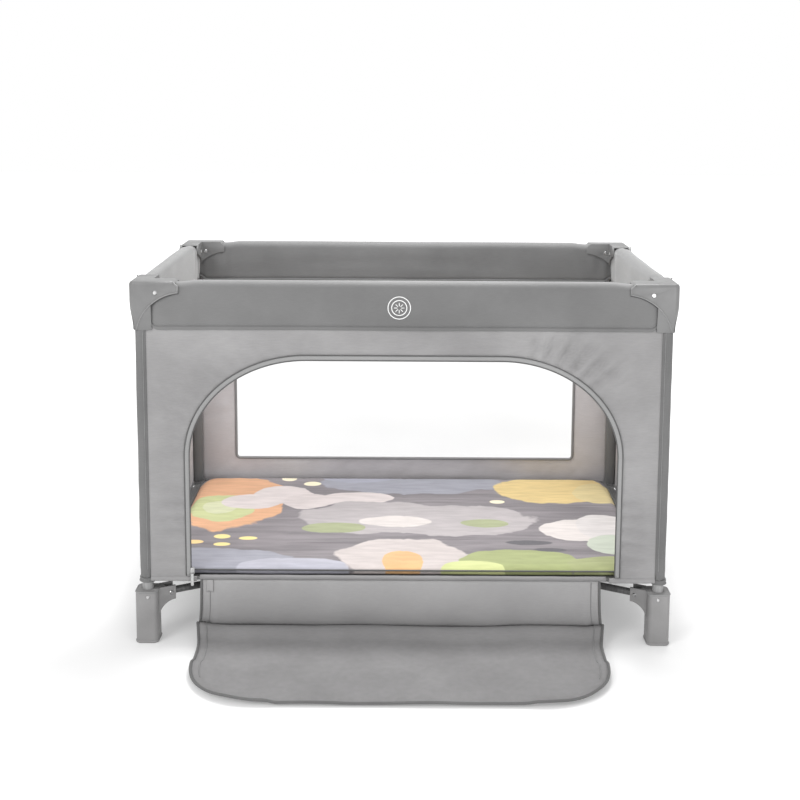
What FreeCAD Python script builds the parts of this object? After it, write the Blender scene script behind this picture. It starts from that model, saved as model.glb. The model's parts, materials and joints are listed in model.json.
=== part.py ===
import FreeCAD, Part
import math
import os

import Sketcher
from FreeCAD import Placement, Rotation, Vector

# A folding playpen: four posts, hinged top rails, a cross-shaped base with a centre hub, fabric walls
# with net windows, a padded mattress and a zipped door that lies open in front.
# Frame: millimetres, +X right, +Y back, +Z up, origin on the floor under the centre hub.

doc = FreeCAD.newDocument("Playpen")
sheet = doc.addObject("Spreadsheet::Sheet", "Sizes")

SIZES = [
    ("post_x", 576, "post axis from the centre, along the length"),
    ("post_y", 336, "post axis from the centre, along the width"),
    ("rail_z", 800, "height of the top rails' axis"),
    ("base_z", 104, "height of the base tubes' axis"),
    ("pivot_in", 34, "rail pivot from the post axis"),
    ("latch_half", 30, "latch pivot from the middle of a rail"),
    ("foot_reach", 50, "base tube pivot from the post axis"),
    ("post_radius", 12.5, "post tube"),
    ("rail_radius", 9, "top rail tube"),
    ("base_radius", 8, "base tube"),
    ("tube_wall", 1.2, "wall of every tube"),
    ("pin_radius", 3, "pivot pins"),
    ("pin_hole", 3.05, "holes for the pivot pins"),
    ("tube_tail", 8, "tube past its pivot"),
    ("cap_half", 24, "half width of a corner cap's arm"),
    ("cap_arm", 84, "cap arm from the post axis"),
    ("cap_top", 25, "cap top above the rail axis"),
    ("cap_skin", 4, "wall of the cap"),
    ("cap_drop", 84, "cap skirt below the rail axis"),
    ("cap_curve_x", 95, "centre of the hollow curve under the arm, from the post axis"),
    ("cap_curve_drop", 105, "that centre below the rail axis"),
    ("cap_curve", 104.6, "radius of the hollow curve"),
    ("cap_tip", 10, "slope at the upper corner of the arm's tip"),
    ("post_bottom", 22, "lower end of the post tube"),
    ("post_top", 808, "upper end of the post tube"),
    ("foot_side", 50, "square column of a foot"),
    ("foot_top", 120, "height of a foot"),
    ("foot_corner", 11, "corner radius of a foot"),
    ("clevis_half", 14, "half width of the foot's clevis"),
    ("clevis_slot", 9, "half width of its slot"),
    ("cover_half", 18, "half thickness of a rail's padded cover"),
    ("cover_drop", 84, "cover below the rail axis"),
    ("cover_rise", 20, "cover above the rail axis"),
    ("cover_start", 22, "cover's start from the rail pivot"),
    ("cover_gap", 62, "cover's end short of the latch pivot"),
    ("wall_low", 143, "lower hem of the fabric walls"),
    ("wall_high", 714, "upper edge of the fabric walls"),
    ("wall_out", 13, "outer face of a wall from the post axis"),
    ("cloth", 2, "thickness of the fabric walls"),
    ("wall_end", 16, "wall's end from the post axis"),
    ("door_half", 475, "half width of the door opening"),
    ("door_high", 650, "top of the door opening"),
    ("door_radius", 220, "upper corners of the door opening"),
    ("window_low", 212, "lower edge of the net windows"),
    ("window_high", 650, "upper edge of the net windows"),
    ("window_radius", 10, "corners of the net windows"),
    ("back_window", 470, "half length of the back window"),
    ("side_window", 230, "half length of a side window"),
    ("net_gap", 0.5, "net inside its window's edge"),
    ("net_thick", 1.2, "thickness of the net panels"),
    ("floor_half_x", 584, "half length of the fabric floor"),
    ("floor_half_y", 344, "half width of the fabric floor"),
    ("mattress_half_x", 560, "half length of the mattress"),
    ("mattress_half_y", 325, "half width of the mattress"),
    ("mattress_low", 147, "underside of the mattress"),
    ("mattress_thick", 21, "thickness of the mattress"),
    ("mattress_corner", 40, "corners of the mattress"),
    ("flap_half", 455, "half width of the door flap"),
    ("flap_hinge_y", 354, "hem line that the door flap hangs from, in front of the centre"),
    ("flap_hinge_z", 150, "height of that line"),
    ("flap_fold_y", 300, "fold where the flap meets the floor"),
    ("flap_fold_z", 5, "height of that fold"),
    ("flap_end_y", 640, "front edge of the flap on the floor"),
    ("flap_radius", 190, "its front corners"),
    ("flap_thick", 3, "thickness of the flap"),
    ("cap_corner", 13, "rounding of a cap's outer corner"),
    ("post_fit", 0.1, "play round a post in its sockets"),
    ("clevis_past", 10, "foot's clevis past its pin"),
    ("clevis_web", 15, "clevis's start from the post axis"),
    ("clevis_low", 48, "lower end of the clevis"),
    ("clevis_curve", 40, "hollow curve under the clevis"),
    ("clevis_back", 13, "slot behind the clevis's pin"),
    ("pin_play", 0.4, "how much longer a pin is than what it joins"),
    ("rivet_head", 5.2, "radius of a rail rivet's head"),
    ("base_head", 5, "radius of a base pin's head"),
    ("screw_head", 4.4, "radius of a foot screw's head"),
    ("screw_offset", 4, "foot screw from the post axis, outwards and above the base axis"),
    ("head_height", 1.8, "height of every head"),
    ("cover_round", 13, "rounding of the cover's long edges"),
    ("cover_play", 0.6, "play of the cover round its tube"),
    ("latch_past", 28, "latch body past each of its pivots"),
    ("latch_deep", 28, "thickness of a latch body"),
    ("latch_drop", 18, "latch body below the rail axis"),
    ("latch_rise", 12, "latch body above the rail axis"),
    ("latch_round", 8, "its corners"),
    ("latch_web", 16, "half length of its solid middle"),
    ("latch_sill", 13, "floor of its channels below the rail axis"),
    ("latch_slot", 20.4, "width of its channels"),
    ("latch_pin", 21, "length of its pivots"),
    ("button_x", 10, "half length of a release button"),
    ("button_y", 8, "half width of a release button"),
    ("button_tall", 12, "height of a release button"),
    ("button_low", 22.5, "underside of a button below the rail axis"),
    ("button_round", 3, "corners of a button"),
    ("button_play", 0.5, "play round a button in its well"),
    ("plate_x", 44, "half length of the hub's top plate"),
    ("plate_y", 60, "half width of the hub's top plate"),
    ("plate_round", 16, "its corners"),
    ("plate_low", 13, "its underside above the base axis"),
    ("plate_thick", 5, "its thickness"),
    ("column_radius", 17, "column of the hub"),
    ("ear_in", 9, "inner face of a hub ear from the base tube's axis"),
    ("ear_out", 13, "outer face of a hub ear"),
    ("ear_back", 8, "hub ear behind its pin, towards the centre"),
    ("ear_front", 13, "hub ear past its pin"),
    ("ear_low", 9, "hub ear below the base axis"),
    ("hub_foot_radius", 28, "rubber foot of the hub"),
    ("hub_foot_thick", 6, "thickness of that foot"),
    ("hub_foot_round", 2, "rounding of its upper edge"),
    ("floor_round", 64, "corners of the fabric floor"),
    ("flap_gap", 4, "flap's lengths short of its hinge and fold"),
    ("flap_lift", 1, "lower length above the floor"),
    ("zip_x", 472, "zip slider from the centre"),
    ("zip_z", 160, "underside of the slider"),
    ("slider_half", 4.5, "half width of the slider"),
    ("slider_long", 15, "length of the slider"),
    ("slider_deep", 5, "thickness of the slider"),
    ("bridge_half", 1.5, "half width of the slider's bridge"),
    ("bridge_out", 8, "front of the bridge from the slider's back"),
    ("bridge_low", 4, "lower end of the bridge on the slider"),
    ("bridge_high", 13, "upper end of the bridge"),
    ("pull_half", 3.5, "half width of the zip's pull"),
    ("pull_long", 30, "length of the pull"),
    ("pull_thick", 1.5, "thickness of the pull"),
    ("zip_round", 3, "corners of the slider and the pull"),
]

for row, (alias, value, meaning) in enumerate(SIZES, 1):
    sheet.set("A%d" % row, meaning)
    sheet.set("B%d" % row, str(value))
    sheet.setAlias("B%d" % row, alias)
doc.recompute()


def size(alias):
    """The number that the sheet holds under an alias."""
    return float(sheet.get(alias))


def cell(text):
    """An expression on the sheet: each word in braces is an alias."""
    return text.replace("{", "Sizes.").replace("}", "")


def body(label):
    made = doc.addObject("PartDesign::Body", label)
    made.Label = label
    return made


def sketch(owner, plane, name, lift=""):
    """A sketch on one of its own body's origin planes, lifted along the plane's normal."""
    made = owner.newObject("Sketcher::SketchObject", name)
    role = [o for o in owner.Origin.OriginFeatures if o.Role == plane][0]
    made.AttachmentSupport = [(role, "")]
    made.MapMode = "FlatFace"
    if lift:
        made.setExpression(".AttachmentOffset.Base.z", cell(lift))
    return made


def pin_value(sk, kind, refs, text):
    """Adds a dimension to a sketch and binds it to the sheet."""
    number = sk.addConstraint(Sketcher.Constraint(kind, *refs))
    sk.setExpression("Constraints[%d]" % number, cell(text))


def circle(sk, radius, across="", up=""):
    """A circle whose centre is at (across, up) from the sketch's origin."""
    index = sk.addGeometry(Part.Circle(Vector(1, 1, 0), Vector(0, 0, 1), 5))
    pin_value(sk, "Radius", (index, 5.0), radius)
    for kind, text, value in (("DistanceX", across, 1.0), ("DistanceY", up, 1.0)):
        if text:
            pin_value(sk, kind, (-1, 1, index, 3, value), text)
        else:
            axis = -2 if kind == "DistanceX" else -1
            sk.addConstraint(Sketcher.Constraint("PointOnObject", index, 3, axis))
    return index


# the rectangle that a sketch's solver starts from
GUESS_X, GUESS_Y, GUESS_RADIUS = 100.0, 60.0, 20.0


def outline(sk, low, high, low_up, high_up, radius="", only_top=False):
    """A rectangle from (low, low_up) to (high, high_up), with all corners, or the upper ones, rounded."""
    start = [Vector(GUESS_X * u, GUESS_Y * v, 0) for u, v in ((-1, -1), (1, -1), (1, 1), (-1, 1))]
    rounded = [False, False, True, True] if only_top else [bool(radius)] * 4
    inset = GUESS_RADIUS
    first = sk.GeometryCount
    for k in range(4):
        a, b = start[k], start[(k + 1) % 4]
        along = (b - a).normalize()
        p = a + along * (inset if rounded[k] else 0)
        q = b - along * (inset if rounded[(k + 1) % 4] else 0)
        sk.addGeometry(Part.LineSegment(p, q))
    arcs = {}
    for k in range(4):
        if rounded[k]:
            c = start[k] + Vector(inset if k in (0, 3) else -inset, inset if k < 2 else -inset, 0)
            a0 = math.radians([180, 270, 0, 90][k])
            arc = Part.ArcOfCircle(Part.Circle(c, Vector(0, 0, 1), inset), a0, a0 + math.pi / 2)
            arcs[k] = sk.addGeometry(arc)
    for k in range(4):
        before, after = first + (k - 1) % 4, first + k
        if rounded[k]:
            sk.addConstraint(Sketcher.Constraint("Tangent", before, 2, arcs[k], 1))
            sk.addConstraint(Sketcher.Constraint("Tangent", arcs[k], 2, after, 1))
        else:
            sk.addConstraint(Sketcher.Constraint("Coincident", before, 2, after, 1))
    for k in range(4):
        sk.addConstraint(Sketcher.Constraint("Horizontal" if k % 2 == 0 else "Vertical", first + k))
    corners = sorted(arcs.values())
    for other in corners[1:]:
        sk.addConstraint(Sketcher.Constraint("Equal", corners[0], other))
    if corners:
        pin_value(sk, "Radius", (corners[0], inset), radius)
    pin_value(sk, "DistanceX", (-1, 1, first + 3, 1, -GUESS_X), low)
    pin_value(sk, "DistanceX", (-1, 1, first + 1, 1, GUESS_X), high)
    pin_value(sk, "DistanceY", (-1, 1, first, 1, -GUESS_Y), low_up)
    pin_value(sk, "DistanceY", (-1, 1, first + 2, 1, GUESS_Y), high_up)


def profile(sk, points, arc_after=-1, centre=None):
    """A closed outline through fixed points; the edge after one of them may be an arc about a centre."""
    count = len(points)
    for k in range(count):
        a, b = points[k], points[(k + 1) % count]
        if k == arc_after:
            middle = (a + b) * 0.5
            out = (middle - centre).normalize()
            middle = centre + out * (a - centre).Length
            sk.addGeometry(Part.Arc(a, middle, b))
        else:
            sk.addGeometry(Part.LineSegment(a, b))
    doc.recompute()


def pad(owner, sk, length, both=False, back=False):
    made = owner.newObject("PartDesign::Pad", "Pad")
    made.Profile = sk
    made.setExpression("Length", cell(length))
    made.Midplane = both
    made.Reversed = back
    doc.recompute()
    return made


def pocket(owner, sk, length, both=False, back=False):
    """Cuts a pocket and checks that it removed something."""
    before = owner.Shape.Volume
    made = owner.newObject("PartDesign::Pocket", "Pocket")
    made.Profile = sk
    made.setExpression("Length", cell(length))
    made.Midplane = both
    made.Reversed = back
    doc.recompute()
    if owner.Shape.Volume > before - 1e-3:
        raise RuntimeError("%s: a pocket cut nothing" % owner.Label)
    return made


def round_edges(owner, feature, radius, chosen):
    """Fillets the edges of a feature that the test picks."""
    names = ["Edge%d" % (n + 1) for n, e in enumerate(feature.Shape.Edges) if chosen(e)]
    made = owner.newObject("PartDesign::Fillet", "Fillet")
    made.Base = (feature, names)
    made.Radius = radius
    doc.recompute()
    return made


def upright(edge):
    """True for a straight vertical edge."""
    a, b = edge.Vertexes[0].Point, edge.Vertexes[-1].Point
    return abs(a.x - b.x) < 0.01 and abs(a.y - b.y) < 0.01 and abs(a.z - b.z) > 20


def place(made, x, y, z, turn=0, rotation=None):
    made.Placement = Placement(Vector(x, y, z), rotation or Rotation(Vector(0, 0, 1), turn))
    SUBPARTS.append(made)
    return made


SUBPARTS = []
PX, PY = size("post_x"), size("post_y")
RAIL_Z, BASE_Z = size("rail_z"), size("base_z")
RAIL_X = PX - size("pivot_in") - size("latch_half")
RAIL_Y = PY - size("pivot_in") - size("latch_half")
DIAGONAL = math.hypot(RAIL_X, RAIL_Y)
SLANT = math.degrees(math.atan2(RAIL_Y, RAIL_X))
FOOT_X = size("foot_reach") * RAIL_X / DIAGONAL
FOOT_Y = size("foot_reach") * RAIL_Y / DIAGONAL
HUB_X = size("pivot_in") + size("latch_half") - FOOT_X
HUB_Y = size("pivot_in") + size("latch_half") - FOOT_Y

# each corner: name, side of the centre in X and Y, turn of the cap, turn of the foot
CORNERS = [
    ("front_left", -1, -1, 0, SLANT),
    ("front_right", 1, -1, 90, 180 - SLANT),
    ("back_right", 1, 1, 180, 180 + SLANT),
    ("back_left", -1, 1, 270, -SLANT),
]


def tube(label, radius, length, holes):
    """A tube along local X from its tail, with cross holes for pins along local Y at the places given."""
    made = body(label)
    ring = sketch(made, "YZ_Plane", "Ring", "-{tube_tail}")
    circle(ring, "{%s}" % radius)
    circle(ring, "{%s} - {tube_wall}" % radius)
    pad(made, ring, length + " + 2 * {tube_tail}")
    cross = sketch(made, "XZ_Plane", "Cross_holes")
    for at in holes:
        circle(cross, "{pin_hole}", at)
    pocket(made, cross, "4 * {%s}" % radius, both=True)
    return made


def corner_post(name, sx, sy):
    made = body("post_" + name)
    ring = sketch(made, "XY_Plane", "Ring")
    circle(ring, "{post_radius}")
    circle(ring, "{post_radius} - {tube_wall}")
    pad(made, ring, "{post_top} - {post_bottom}")
    place(made, sx * PX, sy * PY, size("post_bottom"))


def cap_side(made, plane, name):
    """One arm's outline: flat top, rounded-off tip and a hollow curve down to the narrow skirt."""
    half, arm, top = size("cap_half"), size("cap_arm"), size("cap_top")
    drop, tip, curve = size("cap_drop"), size("cap_tip"), size("cap_curve")
    centre = Vector(size("cap_curve_x"), -size("cap_curve_drop"), 0)
    start = centre.y + math.sqrt(curve**2 - (centre.x - arm) ** 2)
    end = centre.x - math.sqrt(curve**2 - (centre.y + drop) ** 2)
    points = [
        Vector(-half, -drop, 0),
        Vector(-half, top, 0),
        Vector(arm - tip, top, 0),
        Vector(arm, top - tip, 0),
        Vector(arm, start, 0),
        Vector(end, -drop, 0),
    ]
    sk = sketch(made, plane, name)
    profile(sk, points, 4, centre)
    return pad(made, sk, "2 * {cap_half}", both=True)


def corner_cap(name, sx, sy, turn):
    """A moulded corner: two channels, open below, that the rails pivot in, and a socket for the post."""
    made = body("cap_" + name)
    cap_side(made, "XZ_Plane", "Arm_x")
    feature = cap_side(made, "YZ_Plane", "Arm_y")
    half = size("cap_half")
    outer = lambda e: upright(e) and abs(e.Vertexes[0].X + half) < 0.1 and abs(e.Vertexes[0].Y + half) < 0.1
    round_edges(made, feature, size("cap_corner"), outer)
    for plane, label in (("XZ_Plane", "Channel_x"), ("YZ_Plane", "Channel_y")):
        sk = sketch(made, plane, label)
        inside = "{post_radius} + {cap_skin}"
        outline(sk, inside, "2 * {cap_arm}", "-2 * {cap_drop}", "{cap_top} - {cap_skin}")
        pocket(made, sk, "2 * ({cap_half} - {cap_skin})", both=True)
        sk = sketch(made, plane, label + "_pin")
        circle(sk, "{pin_hole}", "{pivot_in}")
        pocket(made, sk, "3 * {cap_half}", both=True)
    socket = sketch(made, "XY_Plane", "Socket", "{post_top} - {rail_z} + 1")
    circle(socket, "{post_radius} + {post_fit}")
    pocket(made, socket, "2 * {cap_drop}")
    place(made, sx * PX, sy * PY, RAIL_Z, turn)


def corner_foot(name, sx, sy, turn):
    """A moulded foot: a square column round the post and a clevis on the diagonal for the base tube."""
    made = body("foot_" + name)
    side, top, corner = size("foot_side"), size("foot_top"), size("foot_corner")
    twist = math.radians(-turn)
    half, reach = side / 2, size("foot_reach") + size("clevis_past")
    square = []
    for k in range(4):
        angle = twist + math.radians(45 + 90 * k)
        square.append(Vector(math.cos(angle), math.sin(angle), 0) * half * math.sqrt(2))
    sk = sketch(made, "XY_Plane", "Column")
    profile(sk, square)
    column = pad(made, sk, "{foot_top}")
    round_edges(made, column, corner, upright)
    ears = sketch(made, "XZ_Plane", "Clevis")
    web, under, curve = size("clevis_web"), size("clevis_low"), size("clevis_curve")
    points = [
        Vector(web, under, 0),
        Vector(web, top, 0),
        Vector(reach, top, 0),
        Vector(reach, under + curve, 0),
        Vector(reach - curve, under, 0),
    ]
    profile(ears, points, 3, Vector(reach, under, 0))
    pad(made, ears, "2 * {clevis_half}", both=True)
    slot = sketch(made, "XZ_Plane", "Slot")
    outline(slot, "{foot_reach} - {clevis_back}", "2 * {foot_reach}", "-{foot_top}", "2 * {foot_top}")
    pocket(made, slot, "2 * {clevis_slot}", both=True)
    hole = sketch(made, "XZ_Plane", "Pin_hole")
    circle(hole, "{pin_hole}", "{foot_reach}", "{base_z}")
    pocket(made, hole, "4 * {clevis_half}", both=True)
    socket = sketch(made, "XY_Plane", "Socket", "{foot_top} + 1")
    circle(socket, "{post_radius} + {post_fit}")
    pocket(made, socket, "{foot_top} + 1 - {post_bottom}")
    place(made, sx * PX, sy * PY, 0, turn)


def pin_head(radius, at, side):
    """A head that tapers to 0.7 of its radius, standing on a face that looks along +Y or -Y."""
    return Part.makeCone(radius, 0.7 * radius, size("head_height"), at, Vector(0, side, 0))


def headed_pin(radius, length, head):
    """A rivet along +Y, centred on its length, with a head at each end."""
    shank = Part.makeCylinder(radius, length, Vector(0, -length / 2, 0), Vector(0, 1, 0))
    for end in (-1, 1):
        shank = shank.fuse(pin_head(head, Vector(0, end * length / 2, 0), end))
    return shank


def corner_pins(name, sx, sy, turn, foot_turn):
    """Both rail pivot pins, the base tube's pin and the screw that holds the foot, as separate solids."""
    radius, play = size("pin_radius"), size("pin_play")
    pieces = []
    for quarter in (0, 90):
        pin = headed_pin(radius, 2 * size("cap_half") + play, size("rivet_head"))
        facing = Rotation(Vector(0, 0, 1), turn + quarter)
        at = facing.multVec(Vector(size("pivot_in"), 0, 0))
        pin.Placement = Placement(at + Vector(0, 0, RAIL_Z), facing)
        pieces.append(pin)
    pin = headed_pin(radius, 2 * size("clevis_half") + play, size("base_head"))
    at = Rotation(Vector(0, 0, 1), foot_turn).multVec(Vector(size("foot_reach"), 0, 0))
    pin.Placement = Placement(at + Vector(0, 0, BASE_Z), Rotation(Vector(0, 0, 1), foot_turn))
    pieces.append(pin)
    aside, out = size("screw_offset"), size("foot_side") / 2 + size("post_fit")
    pieces.append(pin_head(size("screw_head"), Vector(-sx * aside, sy * out, BASE_Z + aside), sy))
    made = doc.addObject("Part::Feature", "pins_" + name)
    made.Label = "pins_" + name
    made.Shape = Part.makeCompound(pieces)
    place(made, sx * PX, sy * PY, 0)


def half_rail(name, run, x, y, turn):
    """Half of a top rail, from its pivot in a cap to its pivot in the latch, and its padded cover."""
    made = tube("rail_" + name, "rail_radius", run, ["", run])
    place(made, x, y, RAIL_Z, turn)
    cover = body("cover_" + name)
    section = sketch(cover, "YZ_Plane", "Section", "{cover_start}")
    outline(section, "-{cover_half}", "{cover_half}", "-{cover_drop}", "{cover_rise}", "{cover_round}")
    circle(section, "{rail_radius} + {cover_play}")
    pad(cover, section, run + " - {cover_start} - {cover_gap}")
    place(cover, x, y, RAIL_Z, turn)


def latch(name, x, y, turn):
    """The locking joint in the middle of a rail: a trough, open above, with a pivot for each half rail."""
    made = body("latch_" + name)
    shell = sketch(made, "XZ_Plane", "Side")
    end = "{latch_half} + {latch_past}"
    outline(shell, "-(%s)" % end, end, "-{latch_drop}", "{latch_rise}", "{latch_round}")
    pad(made, shell, "{latch_deep}", both=True)
    left = sketch(made, "XZ_Plane", "Left_channel")
    outline(left, "-2 * (%s)" % end, "-{latch_web}", "-{latch_sill}", "2 * {latch_rise}")
    pocket(made, left, "{latch_slot}", both=True)
    right = sketch(made, "XZ_Plane", "Right_channel")
    outline(right, "{latch_web}", "2 * (%s)" % end, "-{latch_sill}", "2 * {latch_rise}")
    pocket(made, right, "{latch_slot}", both=True)
    well = sketch(made, "XY_Plane", "Button_well", "-{latch_drop}")
    half_x, half_y = "({button_x} + {button_play})", "({button_y} + {button_play})"
    outline(well, "-" + half_x, half_x, "-" + half_y, half_y, "{button_round}")
    pocket(made, well, "{button_tall} + 2 * {button_play}", back=True)
    holes = sketch(made, "XZ_Plane", "Pins")
    for at in ("-{latch_half}", "{latch_half}"):
        circle(holes, "{pin_radius}", at)
    pad(made, holes, "{latch_pin}", both=True)
    place(made, x, y, RAIL_Z, turn)
    button = body("button_" + name)
    face = sketch(button, "XY_Plane", "Face")
    outline(face, "-{button_x}", "{button_x}", "-{button_y}", "{button_y}", "{button_round}")
    pad(button, face, "{button_tall}")
    place(button, x, y, RAIL_Z - size("button_low"), turn)


def hub():
    """The centre hub: a top plate, a column, and four clevises, open below, for the base tubes."""
    made = body("hub")
    plate = sketch(made, "XY_Plane", "Plate", "{plate_low}")
    outline(plate, "-{plate_x}", "{plate_x}", "-{plate_y}", "{plate_y}", "{plate_round}")
    pad(made, plate, "{plate_thick}")
    column = sketch(made, "XY_Plane", "Column", "{hub_foot_thick} + {post_fit} - {base_z}")
    circle(column, "{column_radius}")
    pad(made, column, "{base_z} + {ear_back}")
    ear_in, ear_out = size("ear_in"), size("ear_out")
    ear_back, ear_front = -size("ear_back"), size("ear_front")
    ears = sketch(made, "XY_Plane", "Ears", "-{ear_low}")
    for sx, sy in ((-1, -1), (1, -1), (1, 1), (-1, 1)):
        along = Vector(sx * RAIL_X, sy * RAIL_Y, 0).normalize()
        across = Vector(-along.y, along.x, 0)
        centre = Vector(sx * HUB_X, sy * HUB_Y, 0)
        for side in (-1, 1):
            corners = [
                centre + along * ear_back + across * side * ear_in,
                centre + along * ear_front + across * side * ear_in,
                centre + along * ear_front + across * side * ear_out,
                centre + along * ear_back + across * side * ear_out,
            ]
            profile(ears, corners)
    pad(made, ears, "{ear_low} + {plate_low} + {plate_thick} / 2")
    place(made, 0, 0, BASE_Z)
    pins = []
    for sx, sy in ((-1, -1), (1, -1), (1, 1), (-1, 1)):
        across = Vector(-sy * RAIL_Y, sx * RAIL_X, 0).normalize()
        reach = ear_in - size("post_fit")
        start = Vector(sx * HUB_X, sy * HUB_Y, 0) - across * reach
        pins.append(Part.makeCylinder(size("pin_radius"), 2 * reach, start, across))
    made = doc.addObject("Part::Feature", "hub_pins")
    made.Label = "hub_pins"
    made.Shape = Part.makeCompound(pins)
    place(made, 0, 0, BASE_Z)
    made = body("hub_foot")
    ring = sketch(made, "XY_Plane", "Pad_outline")
    circle(ring, "{hub_foot_radius}")
    feature = pad(made, ring, "{hub_foot_thick}")
    top = size("hub_foot_thick")
    round_edges(made, feature, size("hub_foot_round"), lambda e: abs(e.CenterOfMass.z - top) < 0.1)
    place(made, 0, 0, 0)


def panel(label, plane, half, low, high, thick, radius=""):
    """A flat upright panel centred on its plane, with its outer face at the sketch plane."""
    made = body(label)
    sk = sketch(made, plane, "Outline")
    outline(sk, "-(%s)" % half, half, low, high, radius)
    pad(made, sk, thick, both=True)
    return made


def wall(label, plane, half, window, x, y):
    """A fabric wall with a net window, and the net itself."""
    made = panel("wall_" + label, plane, half, "{wall_low}", "{wall_high}", "{cloth}")
    hole = sketch(made, plane, "Window")
    outline(hole, "-" + window, window, "{window_low}", "{window_high}", "{window_radius}")
    pocket(made, hole, "4 * {cloth}", both=True)
    place(made, x, y, 0)
    net = panel(
        "net_" + label,
        plane,
        window + " - {net_gap}",
        "{window_low} + {net_gap}",
        "{window_high} - {net_gap}",
        "{net_thick}",
        "{window_radius} - {net_gap}",
    )
    place(net, x, y, 0)


def front_wall(y):
    """The front wall, cut out for the door."""
    made = panel("wall_front", "XZ_Plane", "{post_x} - {wall_end}", "{wall_low}", "{wall_high}", "{cloth}")
    arch = sketch(made, "XZ_Plane", "Arch")
    outline(arch, "-{door_half}", "{door_half}", "0", "{door_high}", "{door_radius}", True)
    pocket(made, arch, "4 * {cloth}", both=True)
    place(made, 0, y, 0)


def slab(label, half_x, half_y, thick, corner, z):
    made = body(label)
    sk = sketch(made, "XY_Plane", "Outline")
    outline(sk, "-" + half_x, half_x, "-" + half_y, half_y, corner)
    pad(made, sk, thick)
    place(made, 0, 0, z)


def door():
    """The door flap in two lengths: one hangs from the hem, the other lies on the floor."""
    hinge = Vector(0, -size("flap_hinge_y"), size("flap_hinge_z"))
    fold = Vector(0, -size("flap_fold_y"), size("flap_fold_z"))
    drop = fold - hinge
    lean = math.degrees(math.atan2(drop.y, -drop.z))
    upper = body("door_upper")
    sk = sketch(upper, "XZ_Plane", "Outline")
    outline(sk, "-{flap_half}", "{flap_half}", "{flap_gap} / 2 - %.4f" % drop.Length, "-{flap_gap}")
    pad(upper, sk, "{flap_thick}", both=True)
    place(upper, hinge.x, hinge.y, hinge.z, rotation=Rotation(Vector(1, 0, 0), lean))
    lower = body("door_lower")
    sk = sketch(lower, "XY_Plane", "Outline")
    start = "{flap_fold_y} + {flap_gap}"
    outline(sk, "-{flap_half}", "{flap_half}", start, "{flap_end_y}", "{flap_radius}", True)
    pad(lower, sk, "{flap_thick}")
    place(lower, 0, 0, size("flap_lift") + size("flap_thick"), rotation=Rotation(Vector(1, 0, 0), 180))


def zip_fastener():
    """The zip's slider, on the tape at the foot of the opening's left side, and its pull."""
    x, y, z = -size("zip_x"), -(PY + size("wall_out")), size("zip_z")
    slider = body("zip_slider")
    sk = sketch(slider, "XZ_Plane", "Outline")
    outline(sk, "-{slider_half}", "{slider_half}", "0", "{slider_long}", "{zip_round}")
    pad(slider, sk, "{slider_deep}")
    loop = sketch(slider, "YZ_Plane", "Bridge", "-{bridge_half}")
    outline(loop, "-{bridge_out}", "-{slider_deep}", "{bridge_low}", "{bridge_high}", "{bridge_half} / 2")
    pad(slider, loop, "2 * {bridge_half}")
    place(slider, x, y - size("net_gap"), z)
    pull = body("zip_pull")
    sk = sketch(pull, "XZ_Plane", "Outline")
    outline(sk, "-{pull_half}", "{pull_half}", "-{pull_long}", "-1", "{zip_round}")
    pad(pull, sk, "{pull_thick}")
    place(pull, x, y - size("bridge_out"), z + size("bridge_low"))


for name, sx, sy, cap_turn, foot_turn in CORNERS:
    corner_post(name, sx, sy)
    corner_cap(name, sx, sy, cap_turn)
    corner_foot(name, sx, sy, foot_turn)
    corner_pins(name, sx, sy, cap_turn, foot_turn)

LONG = "({post_x} - {pivot_in} - {latch_half})"
SHORT = "({post_y} - {pivot_in} - {latch_half})"
IN_X, IN_Y = PX - size("pivot_in"), PY - size("pivot_in")
for side, sy in (("front", -1), ("back", 1)):
    half_rail(side + "_left", LONG, -IN_X, sy * PY, 0)
    half_rail(side + "_right", LONG, IN_X, sy * PY, 180)
    latch(side, 0, sy * PY, 0)
for side, sx in (("left", -1), ("right", 1)):
    half_rail(side + "_front", SHORT, sx * PX, -IN_Y, 90)
    half_rail(side + "_back", SHORT, sx * PX, IN_Y, 270)
    latch(side, sx * PX, 0, 90)

for name, sx, sy, cap_turn, foot_turn in CORNERS:
    length = "%.6f" % DIAGONAL
    brace = tube("base_tube_" + name, "base_radius", length, ["", length])
    place(brace, sx * (PX - FOOT_X), sy * (PY - FOOT_Y), BASE_Z, foot_turn)
hub()

WALL_AT = PY + size("wall_out") - size("cloth") / 2
front_wall(-WALL_AT)
wall("back", "XZ_Plane", "{post_x} - {wall_end}", "{back_window}", 0, WALL_AT)
for side, sx in (("left", -1), ("right", 1)):
    at = sx * (PX + size("wall_out") - size("cloth") / 2)
    wall(side, "YZ_Plane", "{post_y} - {wall_end}", "{side_window}", at, 0)
slab("floor_fabric", "{floor_half_x}", "{floor_half_y}", "{cloth}", "{floor_round}", size("wall_low"))
slab(
    "mattress",
    "{mattress_half_x}",
    "{mattress_half_y}",
    "{mattress_thick}",
    "{mattress_corner}",
    size("mattress_low"),
)
door()
zip_fastener()

doc.recompute()
for thing in doc.Objects:
    if "Invalid" in thing.State or "Error" in thing.State:
        raise RuntimeError("%s: %s" % (thing.Label, thing.State))
os.makedirs("parts", exist_ok=True)
for made in SUBPARTS:
    shape = made.Shape
    if shape.isNull() or not shape.isValid() or shape.Volume <= 0:
        raise RuntimeError("%s has no valid solid" % made.Label)
    shape.exportStep("parts/%s.step" % made.Label)
print("%d sub-parts, %.1f cm3" % (len(SUBPARTS), sum(s.Shape.Volume for s in SUBPARTS) / 1000))
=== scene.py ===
import json
import math

import bmesh
import bpy
from mathutils import Matrix, Vector, noise


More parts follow.
